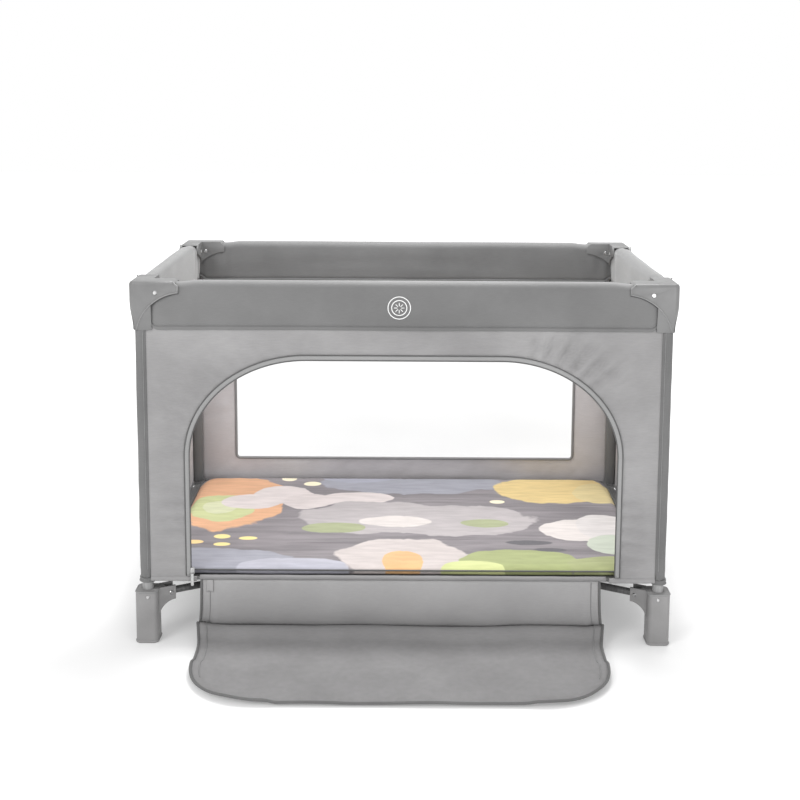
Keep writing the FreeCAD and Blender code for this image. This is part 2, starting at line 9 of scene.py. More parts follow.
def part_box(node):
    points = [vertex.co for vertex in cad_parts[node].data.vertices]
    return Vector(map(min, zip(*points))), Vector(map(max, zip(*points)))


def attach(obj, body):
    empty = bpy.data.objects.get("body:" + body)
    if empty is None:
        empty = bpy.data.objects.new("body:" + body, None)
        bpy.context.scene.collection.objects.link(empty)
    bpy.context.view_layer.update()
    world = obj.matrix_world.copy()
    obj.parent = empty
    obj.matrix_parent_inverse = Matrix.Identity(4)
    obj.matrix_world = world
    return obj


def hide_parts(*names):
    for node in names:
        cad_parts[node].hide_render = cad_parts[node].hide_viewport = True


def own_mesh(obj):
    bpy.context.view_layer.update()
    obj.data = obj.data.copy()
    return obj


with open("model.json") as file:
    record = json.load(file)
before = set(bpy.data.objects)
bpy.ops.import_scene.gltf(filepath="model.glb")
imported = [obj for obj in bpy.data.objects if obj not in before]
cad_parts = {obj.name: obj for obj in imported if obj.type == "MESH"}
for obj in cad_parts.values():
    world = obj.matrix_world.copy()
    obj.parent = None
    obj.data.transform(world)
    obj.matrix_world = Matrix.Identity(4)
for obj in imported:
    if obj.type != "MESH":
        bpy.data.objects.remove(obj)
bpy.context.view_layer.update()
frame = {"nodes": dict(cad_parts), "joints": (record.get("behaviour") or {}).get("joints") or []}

# ---- places, in metres, read from the frame ----
JOINTS = {j["name"]: j for j in frame["joints"]}


def middle(node):
    low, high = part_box(node)
    return [(a + b) / 2 for a, b in zip(low, high)]


POST_X = middle("post_front_right")[0]
POST_Y = middle("post_back_right")[1]
RAIL_Z = middle("rail_front_left")[2]
CAP_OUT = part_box("cap_front_right")[1][0] - POST_X
CAP_ARM = POST_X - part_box("cap_front_right")[0][0]
PIVOT_IN = POST_X - abs(JOINTS["fold"]["pos_m"][0])
LATCH_HALF = abs(JOINTS["front_latch_left_pivot"]["pos_m"][0])
COVER_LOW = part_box("cover_front_left")[0][2]
COVER_START = PIVOT_IN + 0.022
COVER_END = LATCH_HALF + 0.062
WALL_LOW, WALL_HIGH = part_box("wall_front")[0][2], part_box("wall_front")[1][2] + 0.010
WALL_OUT = abs(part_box("wall_front")[0][1])
WALL_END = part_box("wall_front")[1][0] + 0.006   # the walls end on the posts' sleeves
WALL_END_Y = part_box("wall_left")[1][1] + 0.006
WINDOW_LOW, WINDOW_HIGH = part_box("net_back")[0][2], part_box("net_back")[1][2]
BACK_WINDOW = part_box("net_back")[1][0]
SIDE_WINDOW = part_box("net_left")[1][1]
DOOR_HALF, DOOR_HIGH, DOOR_RADIUS, DOOR_SPREAD = 0.475, 0.650, 0.220, 0.260
FOOT_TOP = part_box("foot_front_left")[1][2]
ALONG_X, ALONG_Y = (1, 0, 0), (0, 1, 0)
ROOT = "corner_front_left"
LENS = 55.485          # millimetres on a sensor 36 mm wide
CAMERA_BACK = 2.639    # from the cap's front face to the camera
CAMERA_HIGH = 1.254
CAMERA_DOWN, CAMERA_ROLL = 7.5, 0.32   # degrees
CAP_CURVE = (0.095, -0.105)   # centre of the cap's hollow curve, from the post and rail axes
CAP_CURVE_RADIUS = 0.1046
CAP_SKIRT = -0.083            # lower end of that curve
CORNERS = {
    "front_left": (-1, -1),
    "front_right": (1, -1),
    "back_right": (1, 1),
    "back_left": (-1, 1),
}


# ---- mesh helpers ----
def new_mesh(name, verts, faces, material, smooth=True):
    data = bpy.data.meshes.new(name)
    data.from_pydata([tuple(v) for v in verts], [], faces)
    data.update()
    made = bpy.data.objects.new(name, data)
    bpy.context.collection.objects.link(made)
    data.materials.append(material)
    for face in data.polygons:
        face.use_smooth = smooth
    return made


def apply_modifiers(made):
    bpy.context.view_layer.update()
    graph = bpy.context.evaluated_depsgraph_get()
    data = bpy.data.meshes.new_from_object(made.evaluated_get(graph))
    made.modifiers.clear()
    made.data = data
    return made


def thicken(made, depth):
    solid = made.modifiers.new("Solid", "SOLIDIFY")
    solid.thickness = depth
    solid.offset = 0.0
    return apply_modifiers(made)


def strip(rows, closed=False):
    """Faces of a grid whose rows of points are equally long."""
    count, wide = len(rows), len(rows[0])
    faces = []
    for i in range(count - (0 if closed else 1)):
        for j in range(wide - 1):
            a, b = i * wide + j, ((i + 1) % count) * wide + j
            faces.append((a, a + 1, b + 1, b))
    return [p for row in rows for p in row], faces


def grid(name, count_u, count_v, point, material):
    """A sheet of count_u by count_v quads: point(i, k) gives the corner i along and k across."""
    verts, faces = strip([[point(i, k) for k in range(count_v + 1)] for i in range(count_u + 1)])
    return new_mesh(name, verts, faces, material)


def tube_along(name, points, radius, material, sides=10, closed=False):
    """A round cord, bead or piping along a line of points."""
    rows = []
    count = len(points)
    pts = [Vector(p) for p in points]
    last = None
    for i, p in enumerate(pts):
        ahead = pts[(i + 1) % count] if closed or i < count - 1 else p
        behind = pts[i - 1] if closed or i else p
        along = (ahead - behind).normalized()
        side = last - along * last.dot(along) if last else along.orthogonal()
        side.normalize()
        last = side
        up = along.cross(side)
        ring = []
        for k in range(sides + 1):
            turn = 2 * math.pi * (k % sides) / sides
            ring.append(p + side * radius * math.cos(turn) + up * radius * math.sin(turn))
        rows.append(ring)
    verts, faces = strip(rows, closed)
    wide = sides + 1
    if not closed:
        faces.append(tuple(range(sides - 1, -1, -1)))
        faces.append(tuple((count - 1) * wide + k for k in range(sides)))
    made = new_mesh(name, verts, faces, material)
    weld(made, 1e-6)
    return made


def weld(made, distance):
    bm = bmesh.new()
    bm.from_mesh(made.data)
    bmesh.ops.remove_doubles(bm, verts=bm.verts, dist=distance)
    bmesh.ops.recalc_face_normals(bm, faces=bm.faces)
    bm.to_mesh(made.data)
    bm.free()
    for face in made.data.polygons:
        face.use_smooth = True
    return made


def joined(name, parts):
    """Several meshes as one piece."""
    bm = bmesh.new()
    materials = []
    for part in parts:
        start = len(bm.faces)
        bm.from_mesh(part.data)
        bm.faces.ensure_lookup_table()
        slots = []
        for m in part.data.materials:
            if m not in materials:
                materials.append(m)
            slots.append(materials.index(m))
        for face in bm.faces[start:]:
            face.material_index = slots[face.material_index] if slots else 0
    data = bpy.data.meshes.new(name)
    bm.to_mesh(data)
    bm.free()
    for m in materials:
        data.materials.append(m)
    for part in parts:
        bpy.data.objects.remove(part)
    made = bpy.data.objects.new(name, data)
    bpy.context.collection.objects.link(made)
    return made


def cad_shape(node):
    """A bmesh of a CAD part in place, with the triangles of its flat faces merged."""
    source = frame["nodes"][node]
    bm = bmesh.new()
    bm.from_mesh(source.data)
    bmesh.ops.transform(bm, matrix=source.matrix_world, verts=bm.verts)
    bmesh.ops.remove_doubles(bm, verts=bm.verts, dist=1e-5)
    bmesh.ops.dissolve_limit(bm, angle_limit=math.radians(2), verts=bm.verts, edges=bm.edges)
    return bm


def bevelled(bm, name, node, material, width, segments, limit, sharp, harden=False):
    """Makes a shape into a piece with rounded edges, which stands for a CAD part."""
    data = bpy.data.meshes.new(name)
    bm.to_mesh(data)
    bm.free()
    data.materials.append(material)
    made = bpy.data.objects.new(name, data)
    bpy.context.collection.objects.link(made)
    for face in data.polygons:
        face.use_smooth = True
    bevel = made.modifiers.new("Bevel", "BEVEL")
    bevel.width = width
    bevel.segments = segments
    bevel.limit_method = "ANGLE"
    bevel.angle_limit = math.radians(limit)
    bevel.harden_normals = harden
    apply_modifiers(made)
    for face in made.data.polygons:
        face.use_smooth = True
    made.data.set_sharp_from_angle(angle=math.radians(sharp))
    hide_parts(node)
    return made


def softened(node, width, material):
    """A copy of a rigid CAD part with its edges rounded."""
    return bevelled(cad_shape(node), node + "_moulded", node, material, width, 3, 35, 50, True)


def wave(x, y, z, scale, seed=0.0):
    return noise.noise(Vector((x * scale + seed, y * scale - seed, z * scale + 2 * seed)))


def smoothstep(low, high, value):
    share = min(max((value - low) / (high - low), 0.0), 1.0)
    return share * share * (3 - 2 * share)


# ---- materials ----
def linear(level):
    share = level / 255
    return share / 12.92 if share <= 0.04045 else ((share + 0.055) / 1.055) ** 2.4


def tone(r, g=None, b=None):
    g, b = (r if g is None else g), (r if b is None else b)
    return (linear(r), linear(g), linear(b), 1.0)


class Nodes:
    """A small builder for one material's nodes."""

    def __init__(self, name, rough, metallic=0.0):
        self.material = bpy.data.materials.new(name)
        self.material.use_nodes = True
        self.tree = self.material.node_tree
        self.shader = self.tree.nodes["Principled BSDF"]
        self.shader.inputs["Roughness"].default_value = rough
        self.shader.inputs["Metallic"].default_value = metallic
        self.place = self.node("ShaderNodeTexCoord").outputs["Object"]

    def node(self, kind, **inputs):
        made = self.tree.nodes.new(kind)
        for key, value in inputs.items():
            self.put(made.inputs[key.replace("_", " ")], value)
        return made

    def put(self, socket, value):
        if hasattr(value, "is_output"):
            self.tree.links.new(value, socket)
        else:
            socket.default_value = value

    def math(self, kind, a, b=0.0, c=None):
        made = self.tree.nodes.new("ShaderNodeMath")
        made.operation = kind
        self.put(made.inputs[0], a)
        self.put(made.inputs[1], b)
        if c is not None:
            self.put(made.inputs[2], c)
        return made.outputs[0]

    def mix(self, share, a, b):
        made = self.tree.nodes.new("ShaderNodeMix")
        made.data_type = "RGBA"
        self.put(made.inputs[0], share)
        self.put(made.inputs[6], a)
        self.put(made.inputs[7], b)
        return made.outputs[2]

    def noise(self, scale, detail=3.0, stretch=None, rough=0.5):
        where = self.place
        if stretch:
            where = self.node("ShaderNodeMapping", Vector=self.place, Scale=stretch).outputs[0]
        made = self.node("ShaderNodeTexNoise", Vector=where, Scale=scale, Detail=detail)
        made.inputs["Roughness"].default_value = rough
        return made.outputs["Fac"]

    def ramp(self, value, low, high, start=0.0, end=1.0):
        made = self.tree.nodes.new("ShaderNodeMapRange")
        for k, v in enumerate((value, low, high, start, end)):
            self.put(made.inputs[k], v)
        return made.outputs[0]

    def bump(self, height, strength, distance, below=None):
        made = self.node("ShaderNodeBump", Height=height, Strength=strength, Distance=distance)
        if below is not None:
            self.tree.links.new(below, made.inputs["Normal"])
        return made.outputs[0]

    def axes(self):
        made = self.node("ShaderNodeSeparateXYZ", Vector=self.place)
        return made.outputs[0], made.outputs[1], made.outputs[2]


def weave(n, threads):
    """Height of a plain weave with that many threads to the metre, on upright faces of either direction."""
    x, y, z = n.axes()
    across = n.math("ADD", x, y)
    warp = n.math("SINE", n.math("MULTIPLY", across, threads * math.pi))
    weft = n.math("SINE", n.math("MULTIPLY", z, threads * math.pi))
    return n.math("MULTIPLY", warp, weft)


def cloth(name, level, threads=900, spread=8, sheen=0.25, rough=0.82, warm=0):
    """Woven polyester: a fine weave, faint slubs and cloudy variation of tone."""
    n = Nodes(name, rough)
    cloud = n.noise(7.0, 4.0)
    slub = n.noise(260.0, 2.0, (0.25, 0.25, 3.0))
    dark = tone(level - spread, level - spread - warm, level - spread - warm * 0.6)
    light = tone(level + spread, level + spread - warm, level + spread - warm * 0.6)
    base = n.mix(n.ramp(cloud, 0.3, 0.7), dark, light)
    thread = n.ramp(weave(n, threads), -1.0, 1.0, 0.93, 1.05)
    shade = n.math("MULTIPLY", thread, n.ramp(slub, 0.3, 0.7, 0.96, 1.04))
    scaled = n.node("ShaderNodeVectorMath")
    scaled.operation = "SCALE"
    n.put(scaled.inputs[0], base)
    n.put(scaled.inputs["Scale"], shade)
    n.put(n.shader.inputs["Base Color"], scaled.outputs[0])
    n.shader.inputs["Sheen Weight"].default_value = sheen
    n.shader.inputs["Sheen Roughness"].default_value = 0.5
    n.shader.inputs["Specular IOR Level"].default_value = 0.3
    fine = n.bump(weave(n, threads), 0.25, 0.0004)
    n.put(n.shader.inputs["Normal"], n.bump(n.noise(60.0, 3.0), 0.10, 0.002, fine))
    return n.material


def plastic(name, level, rough=0.5, grain=900.0, warm=0, tint=(1.0, 1.0, 1.0)):
    """Moulded plastic with a fine spark-eroded grain and slightly rubbed patches."""
    n = Nodes(name, rough)
    cloud = n.noise(18.0, 4.0)
    a, b = (tone(*[(level + d - w) * t for w, t in zip((0, warm, warm), tint)]) for d in (-5, 6))
    n.put(n.shader.inputs["Base Color"], n.mix(n.ramp(cloud, 0.3, 0.7), a, b))
    n.put(n.shader.inputs["Roughness"], n.ramp(n.noise(45.0, 3.0), 0.3, 0.7, rough - 0.07, rough + 0.08))
    n.put(n.shader.inputs["Normal"], n.bump(n.noise(grain, 2.0), 0.12, 0.0006))
    return n.material


def metal(name, level, rough=0.3, metallic=1.0):
    n = Nodes(name, rough, metallic)
    streak = n.noise(300.0, 2.0, (1.0, 1.0, 0.15))
    n.put(n.shader.inputs["Base Color"], n.mix(n.ramp(streak, 0.3, 0.7), tone(level - 14), tone(level + 10)))
    n.put(n.shader.inputs["Roughness"], n.ramp(streak, 0.3, 0.7, rough - 0.06, rough + 0.1))
    n.put(n.shader.inputs["Normal"], n.bump(streak, 0.08, 0.0004))
    return n.material


def net_cloth(name):
    """Fine knitted net: the threads cover about a fifth of it, a little more where they cross."""
    n = Nodes(name, 0.7)
    x, y, z = n.axes()
    across = n.math("ADD", x, y)
    cells = 1250.0
    first = n.math("ABSOLUTE", n.math("SINE", n.math("MULTIPLY", n.math("ADD", across, z), cells)))
    second = n.math("ABSOLUTE", n.math("SINE", n.math("MULTIPLY", n.math("SUBTRACT", across, z), cells)))
    thread = n.math("MINIMUM", first, second)
    alpha = n.ramp(thread, 0.20, 0.60, 0.34, 0.15)
    colour = n.mix(n.ramp(n.noise(30.0), 0.3, 0.7), tone(126), tone(142))
    n.put(n.shader.inputs["Base Color"], colour)
    n.put(n.shader.inputs["Alpha"], alpha)
    n.put(n.shader.inputs["Normal"], n.bump(thread, 0.2, 0.0004))
    return n.material


def blob(n, x, y, cx, cy, rx, ry, wobble, soft=0.04):
    """1 inside an uneven oval about (cx, cy)."""
    dx = n.math("DIVIDE", n.math("SUBTRACT", x, cx), rx)
    dy = n.math("DIVIDE", n.math("SUBTRACT", y, cy), ry)
    far = n.math("SQRT", n.math("ADD", n.math("MULTIPLY", dx, dx), n.math("MULTIPLY", dy, dy)))
    far = n.math("ADD", far, wobble)
    return n.ramp(far, 1.0, 1.0 - soft)


# soft rounded shapes of the mattress print, back to front: centre, radii and colour
PRINT_SHAPES = [
    ((0.02, 0.270), (0.250, 0.095), (168, 168, 178)),
    ((-0.12, 0.315), (0.110, 0.045), (176, 176, 190)),
    ((-0.455, 0.115), (0.145, 0.215), (236, 182, 142)),
    ((-0.470, 0.060), (0.085, 0.100), (209, 214, 158)),
    ((-0.475, 0.065), (0.045, 0.050), (222, 224, 186)),
    ((-0.400, 0.110), (0.080, 0.055), (230, 219, 217)),
    ((-0.320, 0.165), (0.075, 0.070), (232, 221, 219)),
    ((-0.250, 0.115), (0.070, 0.055), (228, 217, 215)),
    ((-0.120, 0.140), (0.095, 0.050), (230, 219, 217)),
    ((0.400, 0.225), (0.150, 0.120), (240, 212, 148)),
    ((0.520, 0.190), (0.070, 0.080), (236, 216, 160)),
    ((0.430, -0.085), (0.100, 0.075), (230, 222, 218)),
    ((0.500, -0.060), (0.075, 0.090), (224, 218, 216)),
    ((0.505, -0.180), (0.070, 0.060), (205, 212, 196)),
    ((-0.430, -0.295), (0.190, 0.080), (166, 166, 176)),
    ((-0.250, -0.320), (0.130, 0.050), (190, 189, 200)),
    ((-0.060, 0.000), (0.200, 0.120), (190, 183, 184)),
    ((0.130, -0.020), (0.210, 0.110), (190, 183, 184)),
    ((-0.170, -0.075), (0.080, 0.035), (172, 178, 140)),
    ((0.200, -0.040), (0.060, 0.030), (172, 178, 140)),
    ((-0.020, -0.030), (0.090, 0.040), (226, 218, 214)),
    ((0.000, -0.255), (0.150, 0.110), (214, 204, 201)),
    ((0.000, -0.285), (0.050, 0.060), (238, 190, 138)),
    ((0.270, -0.285), (0.135, 0.075), (172, 180, 126)),
    ((0.160, -0.320), (0.070, 0.035), (216, 222, 158)),
    ((0.465, -0.300), (0.090, 0.045), (174, 180, 130)),
]
PRINT_DOTS = [
    ((-0.317, 0.300), (0.022, 0.022), (240, 230, 200)),
    ((-0.250, 0.257), (0.024, 0.018), (240, 230, 200)),
    ((-0.437, -0.140), (0.022, 0.016), (238, 218, 150)),
    ((-0.375, -0.150), (0.024, 0.012), (238, 218, 150)),
    ((-0.430, -0.190), (0.022, 0.012), (238, 218, 150)),
    ((-0.500, -0.175), (0.024, 0.012), (240, 206, 146)),
    ((0.245, 0.120), (0.020, 0.014), (240, 230, 200)),
    ((0.300, -0.170), (0.060, 0.016), (92, 90, 94)),
    ((0.345, -0.215), (0.040, 0.012), (92, 90, 94)),
]


def printed_cloth():
    """The mattress cover: grey brushed stripes under soft rounded shapes in pastel tones."""
    n = Nodes("mattress_print", 0.78)
    x, y = n.axes()[:2]
    streaks = n.noise(9.0, 5.0, (0.35, 3.4, 1.0), 0.6)
    colour = n.mix(n.ramp(streaks, 0.38, 0.60), tone(118, 113, 116), tone(140, 134, 137))
    fine = n.noise(26.0, 3.0, (0.18, 3.0, 1.0))
    colour = n.mix(n.ramp(fine, 0.60, 0.66, 0.0, 0.5), colour, tone(103, 97, 101))
    wobble = n.math("MULTIPLY", n.math("SUBTRACT", n.noise(11.0, 3.0), 0.5), 0.55)
    brush = n.noise(34.0, 4.0, (0.5, 2.4, 1.0))
    for (cx, cy), (rx, ry), shade in PRINT_SHAPES:
        inside = blob(n, x, y, cx, cy, rx, ry, wobble)
        pale = tone(*[c * 0.93 for c in shade])
        deep = tone(*[c * 0.87 for c in shade])
        painted = n.mix(n.ramp(brush, 0.35, 0.65), deep, pale)
        colour = n.mix(inside, colour, painted)
    for (cx, cy), (rx, ry), shade in PRINT_DOTS:
        inside = blob(n, x, y, cx, cy, rx, ry, wobble, 0.12)
        colour = n.mix(inside, colour, tone(*shade))
    n.put(n.shader.inputs["Base Color"], colour)
    n.shader.inputs["Sheen Weight"].default_value = 0.15
    n.shader.inputs["Specular IOR Level"].default_value = 0.3
    thread = n.math("MULTIPLY", n.math("SINE", n.math("MULTIPLY", x, 3200.0)),
                    n.math("SINE", n.math("MULTIPLY", y, 3200.0)))
    n.put(n.shader.inputs["Normal"], n.bump(thread, 0.2, 0.0003))
    return n.material


WALL = cloth("wall_cloth", 144, warm=1)
INNER = cloth("inner_cloth", 190, warm=4)
RAIL = cloth("rail_cloth", 108, threads=700, spread=6, sheen=0.45, rough=0.6)
SLEEVE = cloth("sleeve_cloth", 108, threads=700, spread=6, sheen=0.15)
DOOR = cloth("door_cloth", 133, spread=5, sheen=0.0, rough=0.95, warm=1)
# Painted light: a lighter copy of the door cloth for the flap's upper part. That part leans back and faces
# down into shade, and the extra brightness evens it with the floor-lying part.
DOOR_UPPER_PAINTED_LIGHT = cloth("door_upper_cloth_painted_light", 158, spread=5, sheen=0.0, rough=0.95, warm=1)
BINDING = cloth("binding_tape", 100, threads=1200, spread=5, sheen=0.1)
TAPE = cloth("zip_tape_cloth", 146, threads=1500, spread=4, sheen=0.1)
COIL = plastic("zip_coil", 82, 0.45)
FLOOR_CLOTH = cloth("floor_cloth", 104, threads=600, spread=6)
THREAD = cloth("stitch_thread", 128, threads=2500, spread=4)
CAP = plastic("cap_plastic", 115, 0.42)
FOOT = plastic("foot_plastic", 131, 0.48, warm=1)
RIM = plastic("rim_plastic", 128, 0.38)
DARK = plastic("dark_plastic", 62, 0.45)
RED = plastic("button_plastic", 178, 0.4, tint=(1.0, 0.22, 0.20))
RUBBER = plastic("pad_rubber", 60, 0.8)
ZINC = metal("zinc", 205, 0.24)
ZIP_METAL = metal("zip_metal", 190, 0.28)
TUBE = metal("tube_paint", 150, 0.42, 0.0)
BASE_TUBE = metal("base_tube_paint", 92, 0.40, 0.0)
NET = net_cloth("net_cloth")
PRINT = printed_cloth()
PATCH = cloth("patch_cloth", 238, threads=1800, spread=3)


# ---- rigid parts ----
def rigid_parts():
    for corner, (sx, sy) in CORNERS.items():
        shaped_cap(corner, sx, sy)
        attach(softened("foot_" + corner, 0.0020, FOOT), "corner_" + corner)
    for side in ("front", "back", "left", "right"):
        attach(softened("latch_" + side, 0.0012, DARK), "latch_body_" + side)
        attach(softened("button_" + side, 0.0015, RED), "button_body_" + side)
    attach(softened("hub", 0.0015, DARK), "hub_body")
    finishes = {"post_": TUBE, "rail_": TUBE, "base_tube_": BASE_TUBE, "pins_": ZINC, "hub_pins": ZINC,
                "hub_foot": RUBBER}
    for name, node in frame["nodes"].items():
        for start, material in finishes.items():
            if name.startswith(start):
                node.data.materials.clear()
                node.data.materials.append(material)
                for face in node.data.polygons:
                    face.use_smooth = True
                node.data.set_sharp_from_angle(angle=math.radians(40))


# ---- covers of the top rails ----
def cover_section():
    """The padded cover's outline about the rail: (out, up) pairs, round above, with a stitched hem below."""
    top, low, half, crown = 0.0215, COVER_LOW - RAIL_Z, 0.0192, 0.015
    side = [(half, top - crown)]
    for k in range(1, 15):
        share = k / 14
        up = (top - crown) * (1 - share) + (low + 0.0125) * share
        side.append((half + 0.0008 * math.sin(math.pi * share) - 0.0022 * share ** 2, up))
    side += [(half - 0.0040, low + 0.0112), (half - 0.0042, low + 0.0100), (half - 0.0022, low + 0.0086)]
    side += [(half - 0.0014, low + 0.0062), (half - 0.0016, low + 0.0035), (half - 0.0034, low + 0.0012)]
    side += [(half - 0.0070, low + 0.0002)]
    arch = []
    for k in range(1, 16):
        turn = math.pi * k / 16
        arch.append((half * math.cos(turn), top - crown + crown * math.sin(turn)))
    return arch + [(-out, up) for out, up in side] + list(reversed(side))


SECTION = cover_section()


def cover_piece(name, side, start, end, body):
    """A length of padded cover, from start to end along its rail as seen from the middle of the pen."""
    along_x = side in ("front", "back")
    sign = -1 if side in ("front", "left") else 1
    fixed = POST_Y if along_x else POST_X
    count = max(3, int(abs(end - start) / 0.005))
    post = POST_X if along_x else POST_Y
    rows = []
    for i in range(count + 1):
        at = start + (end - start) * i / count
        clear = smoothstep(0.086, 0.130, post - abs(at))   # away from the caps the cover is fuller
        ring = []
        for out, up in SECTION:
            sag = wave(at, up * 0.6, fixed * sign, 7.0, 3.1) * 0.0022
            crease = wave(at * 0.30, up * 2.6, sign, 14.0, 7.7) * 0.0018
            pull = wave(at, up * 0.25, sign, 42.0, 2.7) * 0.0026 * (1 - clear)
            depth = out + math.copysign(1, out) * ((sag + crease) * clear + pull)
            rise = up + wave(at, 0.3, fixed * sign, 5.0, 5.0) * 0.0016 * (1 if up < -0.04 else 0.4)
            rise += 0.0040 * clear * smoothstep(-0.02, 0.02, up)
            pinch = smoothstep(0.034, 0.018, post - abs(at))
            depth *= 1 - 0.20 * pinch
            rise += 0.010 * pinch * smoothstep(0.0, -0.09, up)
            where = fixed + depth
            if along_x:
                ring.append(Vector((at, sign * where, RAIL_Z + rise)))
            else:
                ring.append(Vector((sign * where, at, RAIL_Z + rise)))
        ring.append(ring[0])
        rows.append(ring)
    verts, faces = strip(rows)
    wide = len(rows[0])
    faces.append(tuple(range(wide - 1)))
    faces.append(tuple((count) * wide + k for k in range(wide - 2, -1, -1)))
    made = new_mesh(name, verts, faces, RAIL)
    weld(made, 1e-6)
    made.data.set_sharp_from_angle(angle=math.radians(60))
    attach(made, body)
    return made


def rail_covers():
    for side in ("front", "back", "left", "right"):
        along_x = side in ("front", "back")
        names = ("left", "right") if along_x else ("front", "back")
        corner_names = {
            "front": ("front_left", "front_right"),
            "back": ("back_left", "back_right"),
            "left": ("front_left", "back_left"),
            "right": ("front_right", "back_right"),
        }[side]
        post = POST_X if along_x else POST_Y
        fixed = (POST_Y if along_x else POST_X) * (-1 if side in ("front", "left") else 1)

        def point(at):
            return (at, fixed, RAIL_Z) if along_x else (fixed, at, RAIL_Z)

        for sign, half, corner in ((-1, names[0], corner_names[0]), (1, names[1], corner_names[1])):
            body = "half_rail_%s_%s" % (side, half)
            piece = cover_piece("cover_%s_%s_padded" % (side, half), side,
                                sign * (post - COVER_START), sign * COVER_END, body)
            point(0)
            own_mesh(piece)
            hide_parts("cover_%s_%s" % (side, half))
            end = cover_piece("cover_end_%s_%s" % (side, half), side,
                              sign * (post - 0.0165), sign * (post - COVER_START), "corner_" + corner)
            point(sign * post)
            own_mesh(end)
        centre = cover_piece("cover_middle_" + side, side, -COVER_END, COVER_END, "latch_body_" + side)
        point(0)
        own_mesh(centre)


# ---- sleeves on the posts ----
def sleeves():
    for corner, (sx, sy) in CORNERS.items():
        low, high, count = FOOT_TOP + 0.030, COVER_LOW + 0.006, 130

        def point(i, k):
            z = low + (high - low) * i / count
            turn = 2 * math.pi * (k % 28) / 28
            x, y = math.cos(turn), math.sin(turn)
            r = 0.0156 + 0.0007 * wave(x * 0.02, y * 0.02, z, 26.0, sx + 2 * sy)
            r += 0.0006 * wave(x, y, z * 0.2, 1.6, 4.0)
            gather = smoothstep(0.02, 0.0, z - low)
            r += gather * 0.0012 * math.sin(turn * 9) - gather * 0.0010
            return Vector((sx * POST_X + x * r, sy * POST_Y + y * r, z))

        made = weld(grid("sleeve_" + corner, count, 28, point, SLEEVE), 1e-6)
        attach(made, "corner_" + corner)
        # stitched seam down the outer face and a tie round the gathered end
        seam = []
        for i in range(60):
            z = low + 0.02 + (high - low - 0.02) * i / 59
            seam.append((sx * (POST_X - 0.0035), sy * (POST_Y + 0.0154), z))
        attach(tube_along("sleeve_seam_" + corner, seam, 0.0009, THREAD, 6), "corner_" + corner)
        ties = []
        for turn_no, lift in enumerate((0.0, 0.0045, 0.0085)):
            loop = []
            for k in range(28):
                turn = 2 * math.pi * k / 28
                z = low - 0.002 - lift + 0.0022 * math.sin(turn + turn_no * 1.7)
                r = 0.0146 + 0.0006 * turn_no
                loop.append((sx * POST_X + r * math.cos(turn), sy * POST_Y + r * math.sin(turn), z))
            ties.append(tube_along("tie_%d" % turn_no, loop, 0.0030, SLEEVE, 8, True))
        wrap = joined("sleeve_gather_" + corner, ties)
        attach(wrap, "corner_" + corner)


# ---- corner caps ----
def cap_taper(up):
    """How far the skirt's outer faces draw in towards the post at a height above the rail axis."""
    return 0.0080 * smoothstep(-0.020, -0.088, up)


def shaped_cap(corner, sx, sy):
    """The corner cap with its upper outer edges rolled over and its skirt drawn in."""
    bm = cad_shape("cap_" + corner)
    top, roll = RAIL_Z + 0.025, 0.0085
    cuts = [roll * (1 - math.sin(math.radians(a))) for a in (0, 15, 30, 45, 60, 75)]
    planes = [((0, 0, top - c), (0, 0, 1)) for c in cuts]
    planes += [((0, 0, RAIL_Z + up), (0, 0, 1)) for up in (-0.02, -0.03, -0.04, -0.05, -0.06, -0.07)]
    planes += [((sx * (POST_X + CAP_OUT - c), 0, 0), (1, 0, 0)) for c in cuts]
    planes += [((0, sy * (POST_Y + CAP_OUT - c), 0), (0, 1, 0)) for c in cuts]
    for place, normal in planes:
        everything = list(bm.verts) + list(bm.edges) + list(bm.faces)
        bmesh.ops.bisect_plane(bm, geom=everything, plane_co=place, plane_no=normal)
    for v in bm.verts:
        up = v.co.z - RAIL_Z
        for axis, sign, post in ((0, sx, POST_X), (1, sy, POST_Y)):
            out = sign * v.co[axis] - post
            if out > 0.0135 and up < 0:
                out -= cap_taper(up) * smoothstep(0.0135, 0.0200, out)
                v.co[axis] = sign * (post + out)
            across = roll - (CAP_OUT - out)
            rise = roll - (top - v.co.z)
            if across > 1e-7 and rise > 1e-7:
                far, square = math.hypot(across, rise), max(across, rise)
                v.co[axis] = sign * (post + CAP_OUT - roll + across / far * square)
                v.co.z = top - roll + rise / far * square
    made = bevelled(bm, "cap_moulded_" + corner, "cap_" + corner, CAP, 0.0010, 2, 45, 40)
    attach(made, "corner_" + corner)


# ---- beads and rims on the moulded corners ----
def cap_edge(name, sx, sy, outline, inward, radius, material):
    """A line along the same outline on both outer faces of a corner cap."""
    lines = []
    for axis, post in ((0, POST_Y), (1, POST_X)):
        points = []
        for along, up in outline:
            out = post + CAP_OUT - cap_taper(up) - inward
            if axis == 0:
                points.append((sx * (POST_X - along), sy * out, RAIL_Z + up))
            else:
                points.append((sx * out, sy * (POST_Y - along), RAIL_Z + up))
        lines.append(tube_along("%s_%d" % (name, axis), points, radius, material, 8))
    return lines


